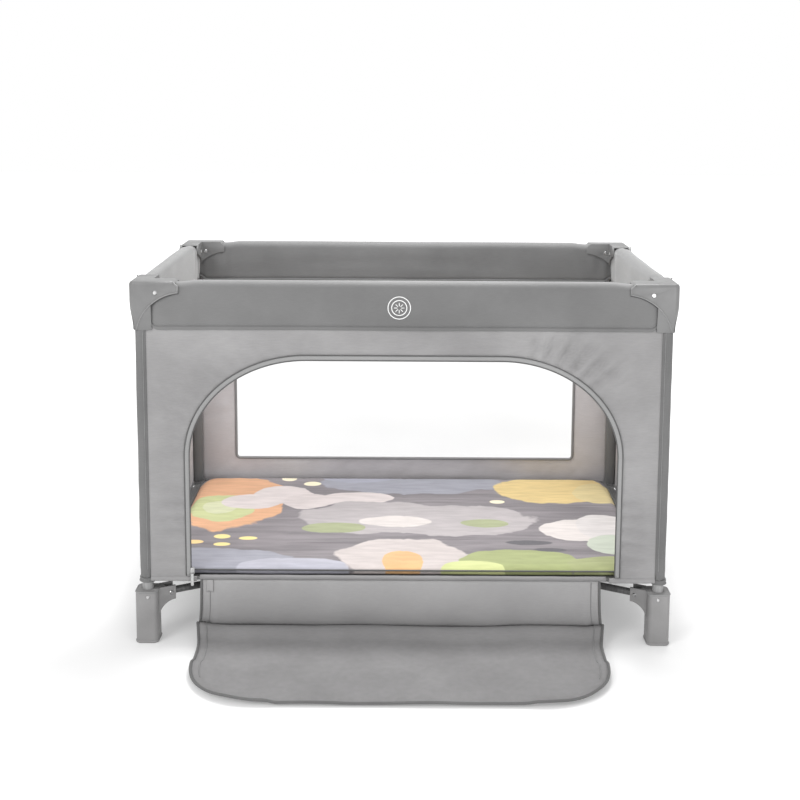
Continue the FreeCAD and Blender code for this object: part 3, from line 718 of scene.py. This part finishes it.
def cap_rims():
    """A raised bead along the hollow edge of each corner cap's outer faces, and a dark tube under it: painted
    shadow in the gap.
    """
    arm = CAP_ARM - 0.0012
    outline = [(arm - 0.010, 0.0235), (arm, 0.014), (arm, 0.004)]
    centre, curve = CAP_CURVE, CAP_CURVE_RADIUS + 0.0016
    start = math.acos((arm - centre[0]) / curve)
    stop = math.pi - math.asin((centre[1] - CAP_SKIRT) / -curve)
    for k in range(21):
        turn = start + (stop - start) * k / 20
        outline.append((centre[0] + curve * math.cos(turn), centre[1] + curve * math.sin(turn)))
    for corner, (sx, sy) in CORNERS.items():
        made = joined("cap_bead_" + corner, cap_edge("bead", sx, sy, outline, 0.0, 0.0016, RIM))
        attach(made, "corner_" + corner)
        # Painted shadow: a dark tube along the gap under each bead, standing in for the shade there.
        under = [(along + 0.0012, up - 0.0016) for along, up in outline[3:]]
        made = joined("cap_gap_" + corner, cap_edge("gap", sx, sy, under, 0.0030, 0.0019, DARK))
        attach(made, "corner_" + corner)


def foot_rims():
    """The lip round the top of each foot's column and the wider sole at its base."""
    half, corner_r = 0.025, 0.011
    for corner, (sx, sy) in CORNERS.items():
        parts = []
        for name, z, grow, radius, material in (("lip", FOOT_TOP - 0.0015, -0.0006, 0.0020, RIM),
                                                ("sole", 0.0034, -0.0012, 0.0030, FOOT)):
            loop = []
            for quarter in range(4):
                for k in range(7):
                    turn = math.pi / 2 * (quarter + k / 6)
                    cx = (half - corner_r) * (1 if quarter in (0, 3) else -1)
                    cy = (half - corner_r) * (1 if quarter in (0, 1) else -1)
                    r = corner_r + grow
                    x, y = sx * POST_X + cx, sy * POST_Y + cy
                    loop.append((x + r * math.cos(turn), y + r * math.sin(turn), z))
            parts.append(tube_along(name, loop, radius, material, 10, True))
        made = joined("foot_rim_" + corner, parts)
        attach(made, "corner_" + corner)


# ---- fabric walls ----
def rounded(half_w, low, high, radius, step=0.012, open_below=False, spread=None):
    """Points round a rounded rectangle, or up, over and down an arch that is open below."""
    points = []
    wide = spread or radius

    def line(a, b):
        count = max(1, int(math.dist(a, b) / step))
        for k in range(count):
            points.append((a[0] + (b[0] - a[0]) * k / count, a[1] + (b[1] - a[1]) * k / count))

    def arc(cx, cz, start):
        count = max(4, int(radius * math.pi / 2 / step))
        for k in range(count):
            turn = math.radians(start) - math.pi / 2 * k / count
            points.append((cx + wide * math.cos(turn), cz + radius * math.sin(turn)))

    if open_below:
        line((-half_w, low), (-half_w, high - radius))
        arc(-half_w + wide, high - radius, 180)
        line((-half_w + wide, high), (half_w - wide, high))
        arc(half_w - wide, high - radius, 90)
        line((half_w, high - radius), (half_w, low))
        points.append((half_w, low))
        return points
    line((-half_w, low + radius), (-half_w, high - radius))
    arc(-half_w + radius, high - radius, 180)
    line((-half_w + radius, high), (half_w - radius, high))
    arc(half_w - radius, high - radius, 90)
    line((half_w, high - radius), (half_w, low + radius))
    arc(half_w - radius, low + radius, 0)
    line((half_w - radius, low), (-half_w + radius, low))
    arc(-half_w + radius, low + radius, 270)
    return points


def outward(inner, half_w, low, high, open_below=False):
    """For each point of an opening's edge, the point of the panel's border that it stretches to."""
    centre_z = low if open_below else (low + high) / 2
    outer = []
    for x, z in inner:
        dx, dz = x, z - centre_z
        reach = []
        if abs(dx) > 1e-6:
            reach.append(half_w / abs(dx))
        if dz > 1e-6:
            reach.append((high - centre_z) / dz)
        if dz < -1e-6 and not open_below:
            reach.append((low - centre_z) / dz)
        share = min(reach)
        outer.append((dx * share, centre_z + dz * share))
    return outer


def snapped(outer, half_w, low, high):
    """Moves the nearest border point onto each corner so that the panel keeps square corners."""
    outer = list(outer)
    for cx in (-half_w, half_w):
        for cz in (low, high):
            best = min(range(len(outer)), key=lambda k: math.dist(outer[k], (cx, cz)))
            if math.dist(outer[best], (cx, cz)) < 0.08:
                outer[best] = (cx, cz)
    return outer


def sheet_wall(name, inner, outer, to_world, push, material, rings, closed, thick=0.0014):
    rows = []
    for (ix, iz), (ox, oz) in zip(inner, outer):
        row = []
        for k in range(rings + 1):
            share = k / rings
            x, z = ix + (ox - ix) * share, iz + (oz - iz) * share
            row.append(to_world(x, z, push(x, z, share)))
        rows.append(row)
    verts, faces = strip(rows, closed)
    made = new_mesh(name, verts, faces, material)
    weld(made, 1e-6)
    thicken(made, thick)
    for face in made.data.polygons:
        face.use_smooth = True
    return made


def front_face(x, z, out):
    return Vector((x, -(WALL_OUT - 0.001) - out, z))


def edge_shape(x, z):
    """How far a point of the front wall is outside the door opening's edge."""
    dx = max(abs(x) - (DOOR_HALF - DOOR_SPREAD), 0.0)
    dz = max(z - (DOOR_HIGH - DOOR_RADIUS), 0.0)
    share = math.hypot(dx / DOOR_SPREAD, dz / DOOR_RADIUS)
    return math.hypot(dx, dz) * (1 - 1 / share) if share > 1 else 0.0


def front_push(x, z, _share):
    """Slack across the front wall: long shallow folds from the posts to the arch, fading at the edges."""
    away = max(edge_shape(x, z), 0.0)
    to_post = WALL_END - abs(x)
    hold = smoothstep(0.0, 0.035, away) * smoothstep(0.0, 0.04, to_post)
    hold *= smoothstep(0.0, 0.03, z - WALL_LOW) * smoothstep(-0.005, 0.04, WALL_HIGH - z)
    side = abs(x) - (DOOR_HALF - DOOR_SPREAD)
    turn = math.atan2(z - (DOOR_HIGH - DOOR_RADIUS), max(side, 0.02))   # round the arch's upper corner
    fan = max(turn, 0.0) * 0.24 + min(z - (DOOR_HIGH - DOOR_RADIUS), 0.0)
    near = smoothstep(0.20, 0.02, away) * smoothstep(0.30, 0.10, max(turn - 1.15, 0))
    folds = math.sin(fan * 190 + 5.0 * wave(x, 0, z, 4.0, 1.3)) * (0.55 + wave(x * 0.5, 0, z, 8.0, 2.2))
    fine = wave(x * 0.16, 0, z + 0.3 * fan, 46.0, 8.0)
    broad = wave(x, 0, z, 4.0, 6.0)
    cuff = smoothstep(0.05, 0.0, away) * wave(x, 0, z, 40.0, 4.0) * 0.0005
    return (folds * 0.0080 * near + fine * 0.0040 + broad * 0.0034) * hold + cuff


def front_wall():
    inner = rounded(DOOR_HALF + 0.001, WALL_LOW, DOOR_HIGH + 0.001, DOOR_RADIUS, 0.008, True, DOOR_SPREAD)
    outer = outward(inner, WALL_END, WALL_LOW, WALL_HIGH, True)
    outer = snapped(outer, WALL_END, WALL_LOW, WALL_HIGH)
    made = sheet_wall("wall_front_cloth", inner, outer, front_face, front_push, WALL, 26, False)
    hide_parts("wall_front")
    flat = (2 * WALL_END, WALL_HIGH - WALL_LOW)
    arch = 2 * DOOR_HALF * (DOOR_HIGH - WALL_LOW) - (2 - math.pi / 2) * DOOR_RADIUS * DOOR_SPREAD
    turned = 0.012 * (2 * DOOR_HALF + 2 * (DOOR_HIGH - WALL_LOW))   # the edge turned in under the zip tape
    return made, flat, flat[0] * flat[1] - arch + turned


def gathered_front(made, body=ROOT):
    """Front pieces: attaches a piece to a body and gives it its own mesh."""
    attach(made, body)
    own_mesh(made)
    return made


def front_trim():
    """The zip's tape round the opening with a dark coil at each edge, and the bottom hem."""
    y = -(WALL_OUT + 0.0012)
    wide = 0.0112
    path = rounded(DOOR_HALF, WALL_LOW + 0.012, DOOR_HIGH, DOOR_RADIUS, 0.008, True, DOOR_SPREAD)
    outer = rounded(DOOR_HALF + wide, WALL_LOW + 0.012, DOOR_HIGH + wide, DOOR_RADIUS + wide, 0.008, True,
                    DOOR_SPREAD + wide)
    share = [k / (len(path) - 1) for k in range(len(path))]

    def sample(points, t):
        at = t * (len(points) - 1)
        k = min(int(at), len(points) - 2)
        f = at - k
        return tuple(points[k][d] * (1 - f) + points[k + 1][d] * f for d in (0, 1))

    def tape_point(i, k):
        a, b, f = sample(path, share[i]), sample(outer, share[i]), k / 6
        lift = 0.0016 * math.sin(math.pi * f)
        return Vector((a[0] + (b[0] - a[0]) * f, y - lift, a[1] + (b[1] - a[1]) * f))

    tape = grid("zip_tape", len(share) - 1, 6, tape_point, TAPE)
    thicken(tape, 0.0012)
    gathered_front(tape)
    for name, points, radius in (("zip_coil_inner", path, 0.0014), ("zip_coil_outer", outer, 0.0012)):
        line = [(px, y - 0.0012, pz) for px, pz in points]
        gathered_front(tube_along(name, line, radius, COIL, 8))
    for sign, side in ((-1, "left"), (1, "right")):
        def hem_point(i, k):
            x = sign * (DOOR_HALF - 0.012 + (WALL_END - DOOR_HALF + 0.012) * i / 45)
            turn = 2 * math.pi * (k % 12) / 12
            z = WALL_LOW + 0.004 + 0.0060 * math.sin(turn) + 0.0008 * wave(x, 0, 0, 60.0, 2)
            return Vector((x, -(WALL_OUT - 0.001) + 0.0032 * math.cos(turn), z))

        gathered_front(weld(grid("front_hem_" + side, 45, 12, hem_point, WALL), 1e-6))


def window_wall(label, half, end, to_world, body, axis):
    """A wall with a net window, bound round its edge."""
    inner = rounded(half + 0.0005, WINDOW_LOW - 0.0005, WINDOW_HIGH + 0.0005, 0.010, 0.008)
    outer = outward(inner, end, WALL_LOW, WALL_HIGH)
    outer = snapped(outer, end, WALL_LOW, WALL_HIGH)
    seed = {"back": 1.0, "left": 5.0, "right": 9.0}[label]

    def fitted(piece):
        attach(piece, body)
        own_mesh(piece)

    def push(x, z, share):
        hold = smoothstep(0, 0.25, share) * smoothstep(1.0, 0.75, share)
        folds = math.sin(z * 120 + 4 * wave(x, seed, z, 2.5)) * wave(x * 0.5, seed, z, 6.0, 1.0) * 2
        slant = wave((x - z) * 0.9, seed, (x + z) * 0.12, 42.0, 3.0)
        return hold * (folds * 0.0018 + slant * 0.0016 + wave(x, seed, z, 5.0) * 0.003)

    made = sheet_wall("wall_%s_cloth" % label, inner, outer, to_world, push, INNER, 12, True)
    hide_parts("wall_" + label)
    fitted(made)
    rows = []
    across = max(12, int(2 * half / 0.02))
    up = int((WINDOW_HIGH - WINDOW_LOW) / 0.02)
    for i in range(across + 1):
        row = []
        for k in range(up + 1):
            u, v = -1 + 2 * i / across, k / up
            x, z = u * half, WINDOW_LOW + (WINDOW_HIGH - WINDOW_LOW) * v
            bulge = 0.003 * (1 - u * u) * math.sin(math.pi * v) + 0.0006 * wave(x, seed, z, 9.0)
            row.append(to_world(x, z, bulge))
        rows.append(row)
    verts, faces = strip(rows)
    corner_r = 0.010
    kept = []
    for face in faces:
        c = sum((verts[k] for k in face), Vector()) / 4
        across_c = c.x if axis[0] else c.y
        dx = abs(across_c) - (half - corner_r)
        dz = max(WINDOW_LOW + corner_r - c.z, c.z - (WINDOW_HIGH - corner_r))
        if dx > 0 and dz > 0 and math.hypot(dx, dz) > corner_r + 0.006:
            continue
        kept.append(face)
    net = new_mesh("net_%s_mesh" % label, verts, kept, NET)
    weld(net, 1e-6)
    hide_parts("net_" + label)
    fitted(net)
    border = rounded(half, WINDOW_LOW, WINDOW_HIGH, 0.010, 0.008)
    bands = []
    for face_out in (-0.0022, 0.0022):
        line = [to_world(x, z, face_out) for x, z in border]
        bands.append(tube_along("band", line, 0.0030, DOOR, 8, True))
    fitted(joined("window_binding_" + label, bands))
    hem_line = [to_world(-end + 2 * end * k / 80, WALL_LOW + 0.003, 0.0) for k in range(81)]
    fitted(tube_along("wall_hem_" + label, hem_line, 0.0045, DOOR, 10))


def walls():
    made, flat, area = front_wall()
    gathered_front(made)
    front_trim()
    at_y, at_x = WALL_OUT - 0.001, POST_X + (WALL_OUT - 0.001 - POST_Y)
    window_wall("back", BACK_WINDOW, WALL_END, lambda x, z, out: Vector((x, at_y + out, z)),
                "corner_back_left", ALONG_X)
    window_wall("left", SIDE_WINDOW, WALL_END_Y, lambda y, z, out: Vector((-at_x - out, y, z)),
                ROOT, ALONG_Y)
    window_wall("right", SIDE_WINDOW, WALL_END_Y, lambda y, z, out: Vector((at_x + out, y, z)),
                "corner_front_right", ALONG_Y)


# ---- floor fabric in four quarters, each on its own base tube ----
def squared_corner(x, y, start_x, start_y):
    """Draws the square corner of a grid, beyond start_x and start_y, in to a round one."""
    dx, dy = abs(x) - start_x, abs(y) - start_y
    if dx > 0 and dy > 0:
        far, square = max(math.hypot(dx, dy), 1e-9), max(dx, dy)
        x = math.copysign(start_x + dx / far * square, x)
        y = math.copysign(start_y + dy / far * square, y)
    return x, y


def floor_quarters():
    low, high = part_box("floor_fabric")
    half_x, half_y, z = high[0], high[1], (low[2] + high[2]) / 2
    corner_r = 0.064
    for corner, (sx, sy) in CORNERS.items():
        def point(i, k):
            u, v = i / 30, k / 18
            x, y = squared_corner(u * half_x, v * half_y, half_x - corner_r, half_y - corner_r)
            droop = -0.004 * math.sin(math.pi * u) * math.sin(math.pi * v)
            return Vector((sx * x, sy * y, z + droop + 0.0006 * wave(x, y, 0, 12.0, sx + sy)))

        quarter = grid("floor_quarter_" + corner, 30, 18, point, FLOOR_CLOTH)
        thicken(quarter, 0.0016)
        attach(quarter, "base_" + corner)
        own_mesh(quarter)
    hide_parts("floor_fabric")

    def strap_point(i, k):
        u = i / 24
        z_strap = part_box("hub")[1][2] + 0.0015 + 0.012 * math.sin(math.pi * u) ** 0.8
        return Vector((-0.045 + 0.09 * u, (-0.0125, -0.004, 0.004, 0.0125)[k], z_strap))

    strap = grid("hub_strap", 24, 3, strap_point, BINDING)
    thicken(strap, 0.0016)
    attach(strap, "hub_body")


# ---- mattress ----
def mattress():
    low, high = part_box("mattress")
    corner_r = 0.04
    half_x, half_y = high[0] - 0.003, high[1] - 0.003
    count_x, count_y = 150, 88
    top, bottom = [], []
    for i in range(count_x + 1):
        row_t, row_b = [], []
        for k in range(count_y + 1):
            u, v = -1 + 2 * i / count_x, -1 + 2 * k / count_y
            x, y = squared_corner(u * half_x, v * half_y, half_x - corner_r, half_y - corner_r)
            edge = min(1 - abs(u), (1 - abs(v)) * half_y / half_x)
            puff = smoothstep(0.0, 0.035, edge)
            panel = abs(((u + 1) * 2) % 1 - 0.5)
            fold = smoothstep(0.5, 0.47, panel)
            rise = high[2] - 0.0045 - (1 - puff) * 0.006 - (1 - fold) * 0.0012
            rise += 0.0008 * wave(x, y, 0, 14.0, 2.0) * puff
            row_t.append(Vector((x, y, rise)))
            row_b.append(Vector((x, y, low[2] + 0.001)))
        top.append(row_t)
        bottom.append(row_b)
    verts, faces = strip(top)
    base = len(verts)
    more, below = strip(bottom)
    verts += more
    faces = [tuple(reversed(f)) for f in faces] + [tuple(base + k for k in f) for f in below]
    wide = count_y + 1
    ring = [i * wide for i in range(count_x + 1)]
    ring += [count_x * wide + k for k in range(1, wide)]
    ring += [i * wide + count_y for i in range(count_x - 1, -1, -1)]
    ring += list(range(count_y - 1, 0, -1))
    mid = []
    for k in ring:
        p = (verts[k] + verts[base + k]) / 2
        out = Vector((p.x / half_x, p.y / half_y, 0)).normalized() * 0.002
        mid.append(len(verts))
        verts.append(p + out)
    for a in range(len(ring)):
        b = (a + 1) % len(ring)
        faces.append((ring[a], ring[b], mid[b], mid[a]))
        faces.append((mid[a], mid[b], base + ring[b], base + ring[a]))
    made = new_mesh("mattress_padded", verts, faces, PRINT)
    weld(made, 1e-6)
    puff_up(made, 1.2, 12, 0.0035, high[2])
    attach(made, "mattress_body")
    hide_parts("mattress")
    loop = [Vector(verts[k]) for k in ring]
    seam_z = high[2] - 0.0095
    line = []
    for p in loop[::2]:
        out = Vector((p.x / half_x, p.y / half_y, 0)).normalized() * 0.0012
        line.append((p.x + out.x, p.y + out.y, seam_z))
    piping = tube_along("mattress_piping", line, 0.0019, BINDING, 8, True)
    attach(piping, "mattress_body")


def puff_up(made, pressure, frames, cap, ceiling):
    """Runs the cloth solver with air pressure, keeps each point within a cap of its start, and applies it."""
    start = [v.co.copy() for v in made.data.vertices]
    clothed = made.modifiers.new("Cloth", "CLOTH")
    settings = clothed.settings
    settings.use_pressure = True
    settings.uniform_pressure_force = pressure
    settings.effector_weights.gravity = 0.0
    settings.quality = 4
    settings.tension_stiffness = 30
    settings.compression_stiffness = 30
    settings.bending_stiffness = 0.6
    clothed.collision_settings.use_collision = False
    clothed.collision_settings.use_self_collision = False
    scene = bpy.context.scene
    for f in range(1, frames + 1):
        scene.frame_set(f)
    graph = bpy.context.evaluated_depsgraph_get()
    puffed = made.evaluated_get(graph)
    ends = [v.co.copy() for v in puffed.data.vertices]
    made.modifiers.clear()
    scene.frame_set(1)
    for v, a, b in zip(made.data.vertices, start, ends):
        move = b - a
        if move.length > cap:
            move *= cap / move.length
        v.co = a + move
        v.co.z = min(v.co.z, ceiling + 0.001)
    made.data.update()


# ---- door flap ----
def flap_profile():
    """The open flap seen from the side: down from the hem, round the fold and out along the floor."""
    hinge = Vector(JOINTS["door_swing"]["pos_m"])
    fold = Vector(JOINTS["door_fold"]["pos_m"])
    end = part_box("door_lower")[0][1]
    return hinge, fold, end


def flap_half_width(run, total):
    """Half width of the flap at a distance from its hem: straight sides, then round corners."""
    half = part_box("door_upper")[1][0]
    radius = 0.17
    left = total - run
    flare = 0.019 * math.exp(-((run - 0.150) / 0.075) ** 2)
    if left < radius:
        share = (radius - left) / radius
        return half - radius + radius * max(0.0, 1 - share ** 2.3) ** (1 / 2.3) + flare
    return half - 0.004 + flare


def flap_point(run, across, lengths, hinge, fold, end):
    """A point of the open flap: across is 0 at the middle and runs to either side."""
    upper, lower = lengths
    total = upper + lower
    wide = flap_half_width(run, total)
    x = across * wide * (1 - 0.024 * smoothstep(0.0, 1.0, across))   # it lies a little askew
    edge = abs(across)
    if run <= upper:
        share = run / upper
        belly = math.sin(math.pi * share)
        y = hinge.y + (fold.y - hinge.y) * (1.6 * share ** 1.6 - 0.6 * share ** 6) - belly * 0.008
        z = hinge.z + (fold.z - hinge.z) * math.sin(math.pi / 2 * share) ** 1.1
        y += belly * (0.006 * wave(x, 0, share * 0.1, 4.0, 1.0) + 0.003 * wave(x, 0, share * 0.1, 13.0, 6.0))
        y -= belly * 0.004 * math.sin(abs(across) * 90) * smoothstep(0.90, 0.97, abs(across))
    else:
        share = (run - upper) / lower
        y = fold.y + (end - fold.y) * share
        ease = smoothstep(0.0, 0.12, share)
        ripple = 0.0045 * (1 + wave(x, y * 0.7, 0, 4.5, 3.0)) * ease
        ripple += 0.0050 * max(0.0, wave(x, y * 0.5, 0, 9.0, 5.0)) * ease * (1 - share * 0.6)
        stand = 0.022 * math.exp(-((share - 0.09) / 0.07) ** 2)   # it stands off just past the fold
        ripple += stand * smoothstep(0.0, 0.04, share)
        z = fold.z * (1 - ease) + 0.0030 * ease + ripple
        z += 0.005 * smoothstep(0.90, 1.0, edge) * ease * (1 + wave(x, y, 0, 12.0, 1.0))
    return Vector((x, y, z))


def door_flap():
    hinge, fold, end = flap_profile()
    lengths = ((fold - hinge).length, abs(end - fold.y))
    total = sum(lengths)
    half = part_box("door_upper")[1][0]

    def gathered(made, body):
        return gathered_front(made, body)

    def at(run, across):
        return flap_point(run, across, lengths, hinge, fold, end)

    spans = (("door_upper_cloth_painted_light", 0.0, lengths[0], 18, "door_top", "door_upper"),
             ("door_lower_cloth", lengths[0], total, 52, "door_end", "door_lower"))
    for name, start, stop, count, body, node in spans:
        rows = []
        for i in range(count + 1):
            f = i / count
            if node == "door_lower":
                f = 1 - (1 - f) ** 1.6
            run = start + (stop - start) * min(f, 0.99995)
            rows.append([at(run, -1 + 2 * k / 90) for k in range(91)])
        verts, faces = strip(rows)
        # The upper part wears the lighter copy of the door cloth, painted light against its shade.
        made = new_mesh(name, verts, faces, DOOR_UPPER_PAINTED_LIGHT if node == "door_upper" else DOOR)
        thicken(made, 0.0014)
        gathered(made, body)
        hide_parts(node)

    def edge_line(start, stop, side, count):
        line = []
        for i in range(count + 1):
            f = i / count
            f = 1 - (1 - f) ** 1.6 if stop > lengths[0] else f
            run = start + (stop - start) * f
            line.append(at(run, side) + Vector((0, 0, 0.0002)))
        return line

    around = edge_line(lengths[0], total, -1, 46)
    far = [at(total, -1 + 2 * k / 60) for k in range(1, 60)]
    around += far + list(reversed(edge_line(lengths[0], total, 1, 46)))
    gathered(tube_along("door_binding_lower", around, 0.0032, BINDING, 8), "door_end")
    sides = [tube_along("side", edge_line(0.0, lengths[0], s, 20), 0.0030, BINDING, 8) for s in (-1, 1)]
    gathered(joined("door_binding_upper", sides), "door_top")
    seams = []
    for s in (-1, 1):
        line = [p + Vector((0, -0.0010, 0.0010)) for p in edge_line(lengths[0], total - 0.10, s * 0.958, 40)]
        seams.append(tube_along("seam", line, 0.0010, THREAD, 6))
    gathered(joined("door_seam_lower", seams), "door_end")
    seams = []
    for s in (-1, 1):
        line = [p + Vector((0, -0.0012, 0)) for p in edge_line(0.004, lengths[0], s * 0.958, 20)]
        seams.append(tube_along("seam", line, 0.0010, THREAD, 6))
    gathered(joined("door_seam_upper", seams), "door_top")

    def tab_point(i, k):
        return at(0.002 + 0.022 * i / 8, -0.975 + 0.034 * k / 6) + Vector((0, -0.0026, 0))

    # The tab wears the same lighter copy of the door cloth (painted light).
    tab = grid("door_tab", 8, 6, tab_point, DOOR_UPPER_PAINTED_LIGHT)
    thicken(tab, 0.0016)
    gathered(tab, "door_top")
    hem = []
    for k in range(81):
        x = (-1 + 2 * k / 80) * half
        hem.append((x, hinge.y + 0.001, hinge.z + 0.003 + 0.0006 * wave(x, 0, 0, 20.0, 2)))
    gathered(tube_along("door_hem", hem, 0.0055, DOOR, 10), ROOT)


# ---- zip slider and pull ----
def zip_parts():
    for node, body in (("zip_slider", "slider_body"), ("zip_pull", "pull_body")):
        made = softened(node, 0.0008, ZIP_METAL)
        gathered_front(made, body)


# ---- a plain round patch in the middle of the front rail ----
def patch():
    out = -(POST_Y + 0.0205)
    centre = Vector((-0.011, out, RAIL_Z - 0.031))
    parts = []
    for radius in (0.0245, 0.0165):
        turns = [2 * math.pi * k / 48 for k in range(48)]
        loop = [centre + Vector((radius * math.cos(t), 0, radius * math.sin(t))) for t in turns]
        parts.append(tube_along("ring", loop, 0.0011, PATCH, 8, True))

    def disc_point(i, k):
        radius, turn = 0.0165 * i / 8, 2 * math.pi * (k % 32) / 32
        dome = 0.0006 * math.cos(math.pi / 2 * i / 8)
        return centre + Vector((radius * math.cos(turn), 0.0004 - dome, radius * math.sin(turn)))

    disc = grid("disc", 8, 32, disc_point, RAIL)
    parts.append(weld(disc, 1e-7))
    for k in range(8):
        turn = 2 * math.pi * k / 8
        tip = Vector((math.cos(turn), 0, math.sin(turn)))
        line = [centre + tip * (0.004 + 0.0075 * f / 4) + Vector((0, -0.0005, 0)) for f in range(5)]
        parts.append(tube_along("petal", line, 0.0009, PATCH, 6))
    made = joined("front_patch", parts)
    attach(made, "latch_body_front")
    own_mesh(made)


# ---- surroundings ----
def surroundings():
    n = Nodes("floor_paper", 0.9)
    n.put(n.shader.inputs["Base Color"], n.mix(n.ramp(n.noise(2.0), 0.3, 0.7), tone(212), tone(218)))
    n.shader.inputs["Specular IOR Level"].default_value = 0.1
    n.shader.inputs["Emission Color"].default_value = (1.0, 1.0, 1.0, 1.0)
    x, y = n.axes()[:2]
    far = n.math("SQRT", n.math("ADD", n.math("MULTIPLY", x, x), n.math("MULTIPLY", y, y)))
    glow = n.ramp(far, 1.4, 3.2, 0.22, 0.75)   # the paper fades to white
    n.put(n.shader.inputs["Emission Strength"], glow)
    size = 14.0
    ground = new_mesh("ground", [(-size, -size, 0), (size, -size, 0), (size, size, 0), (-size, size, 0)],
                      [(0, 1, 2, 3)], n.material, False)
    ground.location.z = -0.0005
    world = bpy.data.worlds.new("Studio")
    bpy.context.scene.world = world
    world.use_nodes = True
    tree = world.node_tree
    back = tree.nodes["Background"]
    back.inputs["Color"].default_value = (1.0, 1.0, 1.0, 1.0)
    seen = tree.nodes.new("ShaderNodeLightPath")
    level = tree.nodes.new("ShaderNodeMapRange")   # white to the eye, softer as a light
    level.inputs["To Min"].default_value = 0.82
    level.inputs["To Max"].default_value = 1.0
    tree.links.new(seen.outputs["Is Camera Ray"], level.inputs["Value"])
    tree.links.new(level.outputs["Result"], back.inputs["Strength"])

    def area(name, where, target, size, power):
        light = bpy.data.lights.new(name, "AREA")
        light.shape = "RECTANGLE"
        light.size, light.size_y = size
        light.energy = power
        made = bpy.data.objects.new(name, light)
        bpy.context.collection.objects.link(made)
        made.location = where
        made.rotation_euler = (Vector(target) - Vector(where)).to_track_quat("-Z", "Y").to_euler()

    area("key", (-2.4, -3.0, 2.6), (0, 0, 0.4), (1.6, 1.4), 56)
    area("top", (0.3, 0.9, 3.2), (0, 0, 0.4), (1.8, 1.2), 66)
    area("inside", (0, -0.15, 1.6), (0, 0.3, 0.6), (0.6, 0.25), 5.5)
    area("fill", (1.6, -3.6, 0.7), (0, -0.3, 0.2), (2.2, 1.2), 34)


def camera():
    """Slightly above the top rails, looking at the door side."""
    view = bpy.data.cameras.new("Camera")
    view.sensor_width = 36
    view.lens = LENS
    view.shift_y = -0.1930
    view.shift_x = -0.011
    view.clip_end = 60
    made = bpy.data.objects.new("Camera", view)
    bpy.context.collection.objects.link(made)
    made.location = (0.009, -(POST_Y + CAP_OUT) - CAMERA_BACK, CAMERA_HIGH)
    pitch = Matrix.Rotation(math.radians(90 - CAMERA_DOWN), 3, "X")
    roll = Matrix.Rotation(math.radians(CAMERA_ROLL), 3, "Z")
    made.rotation_euler = (pitch @ roll).to_euler()
    bpy.context.scene.camera = made


bpy.context.scene.view_settings.view_transform = "Standard"
camera()
surroundings()
rigid_parts()
rail_covers()
sleeves()
cap_rims()
foot_rims()
walls()
floor_quarters()
mattress()
door_flap()
zip_parts()
patch()
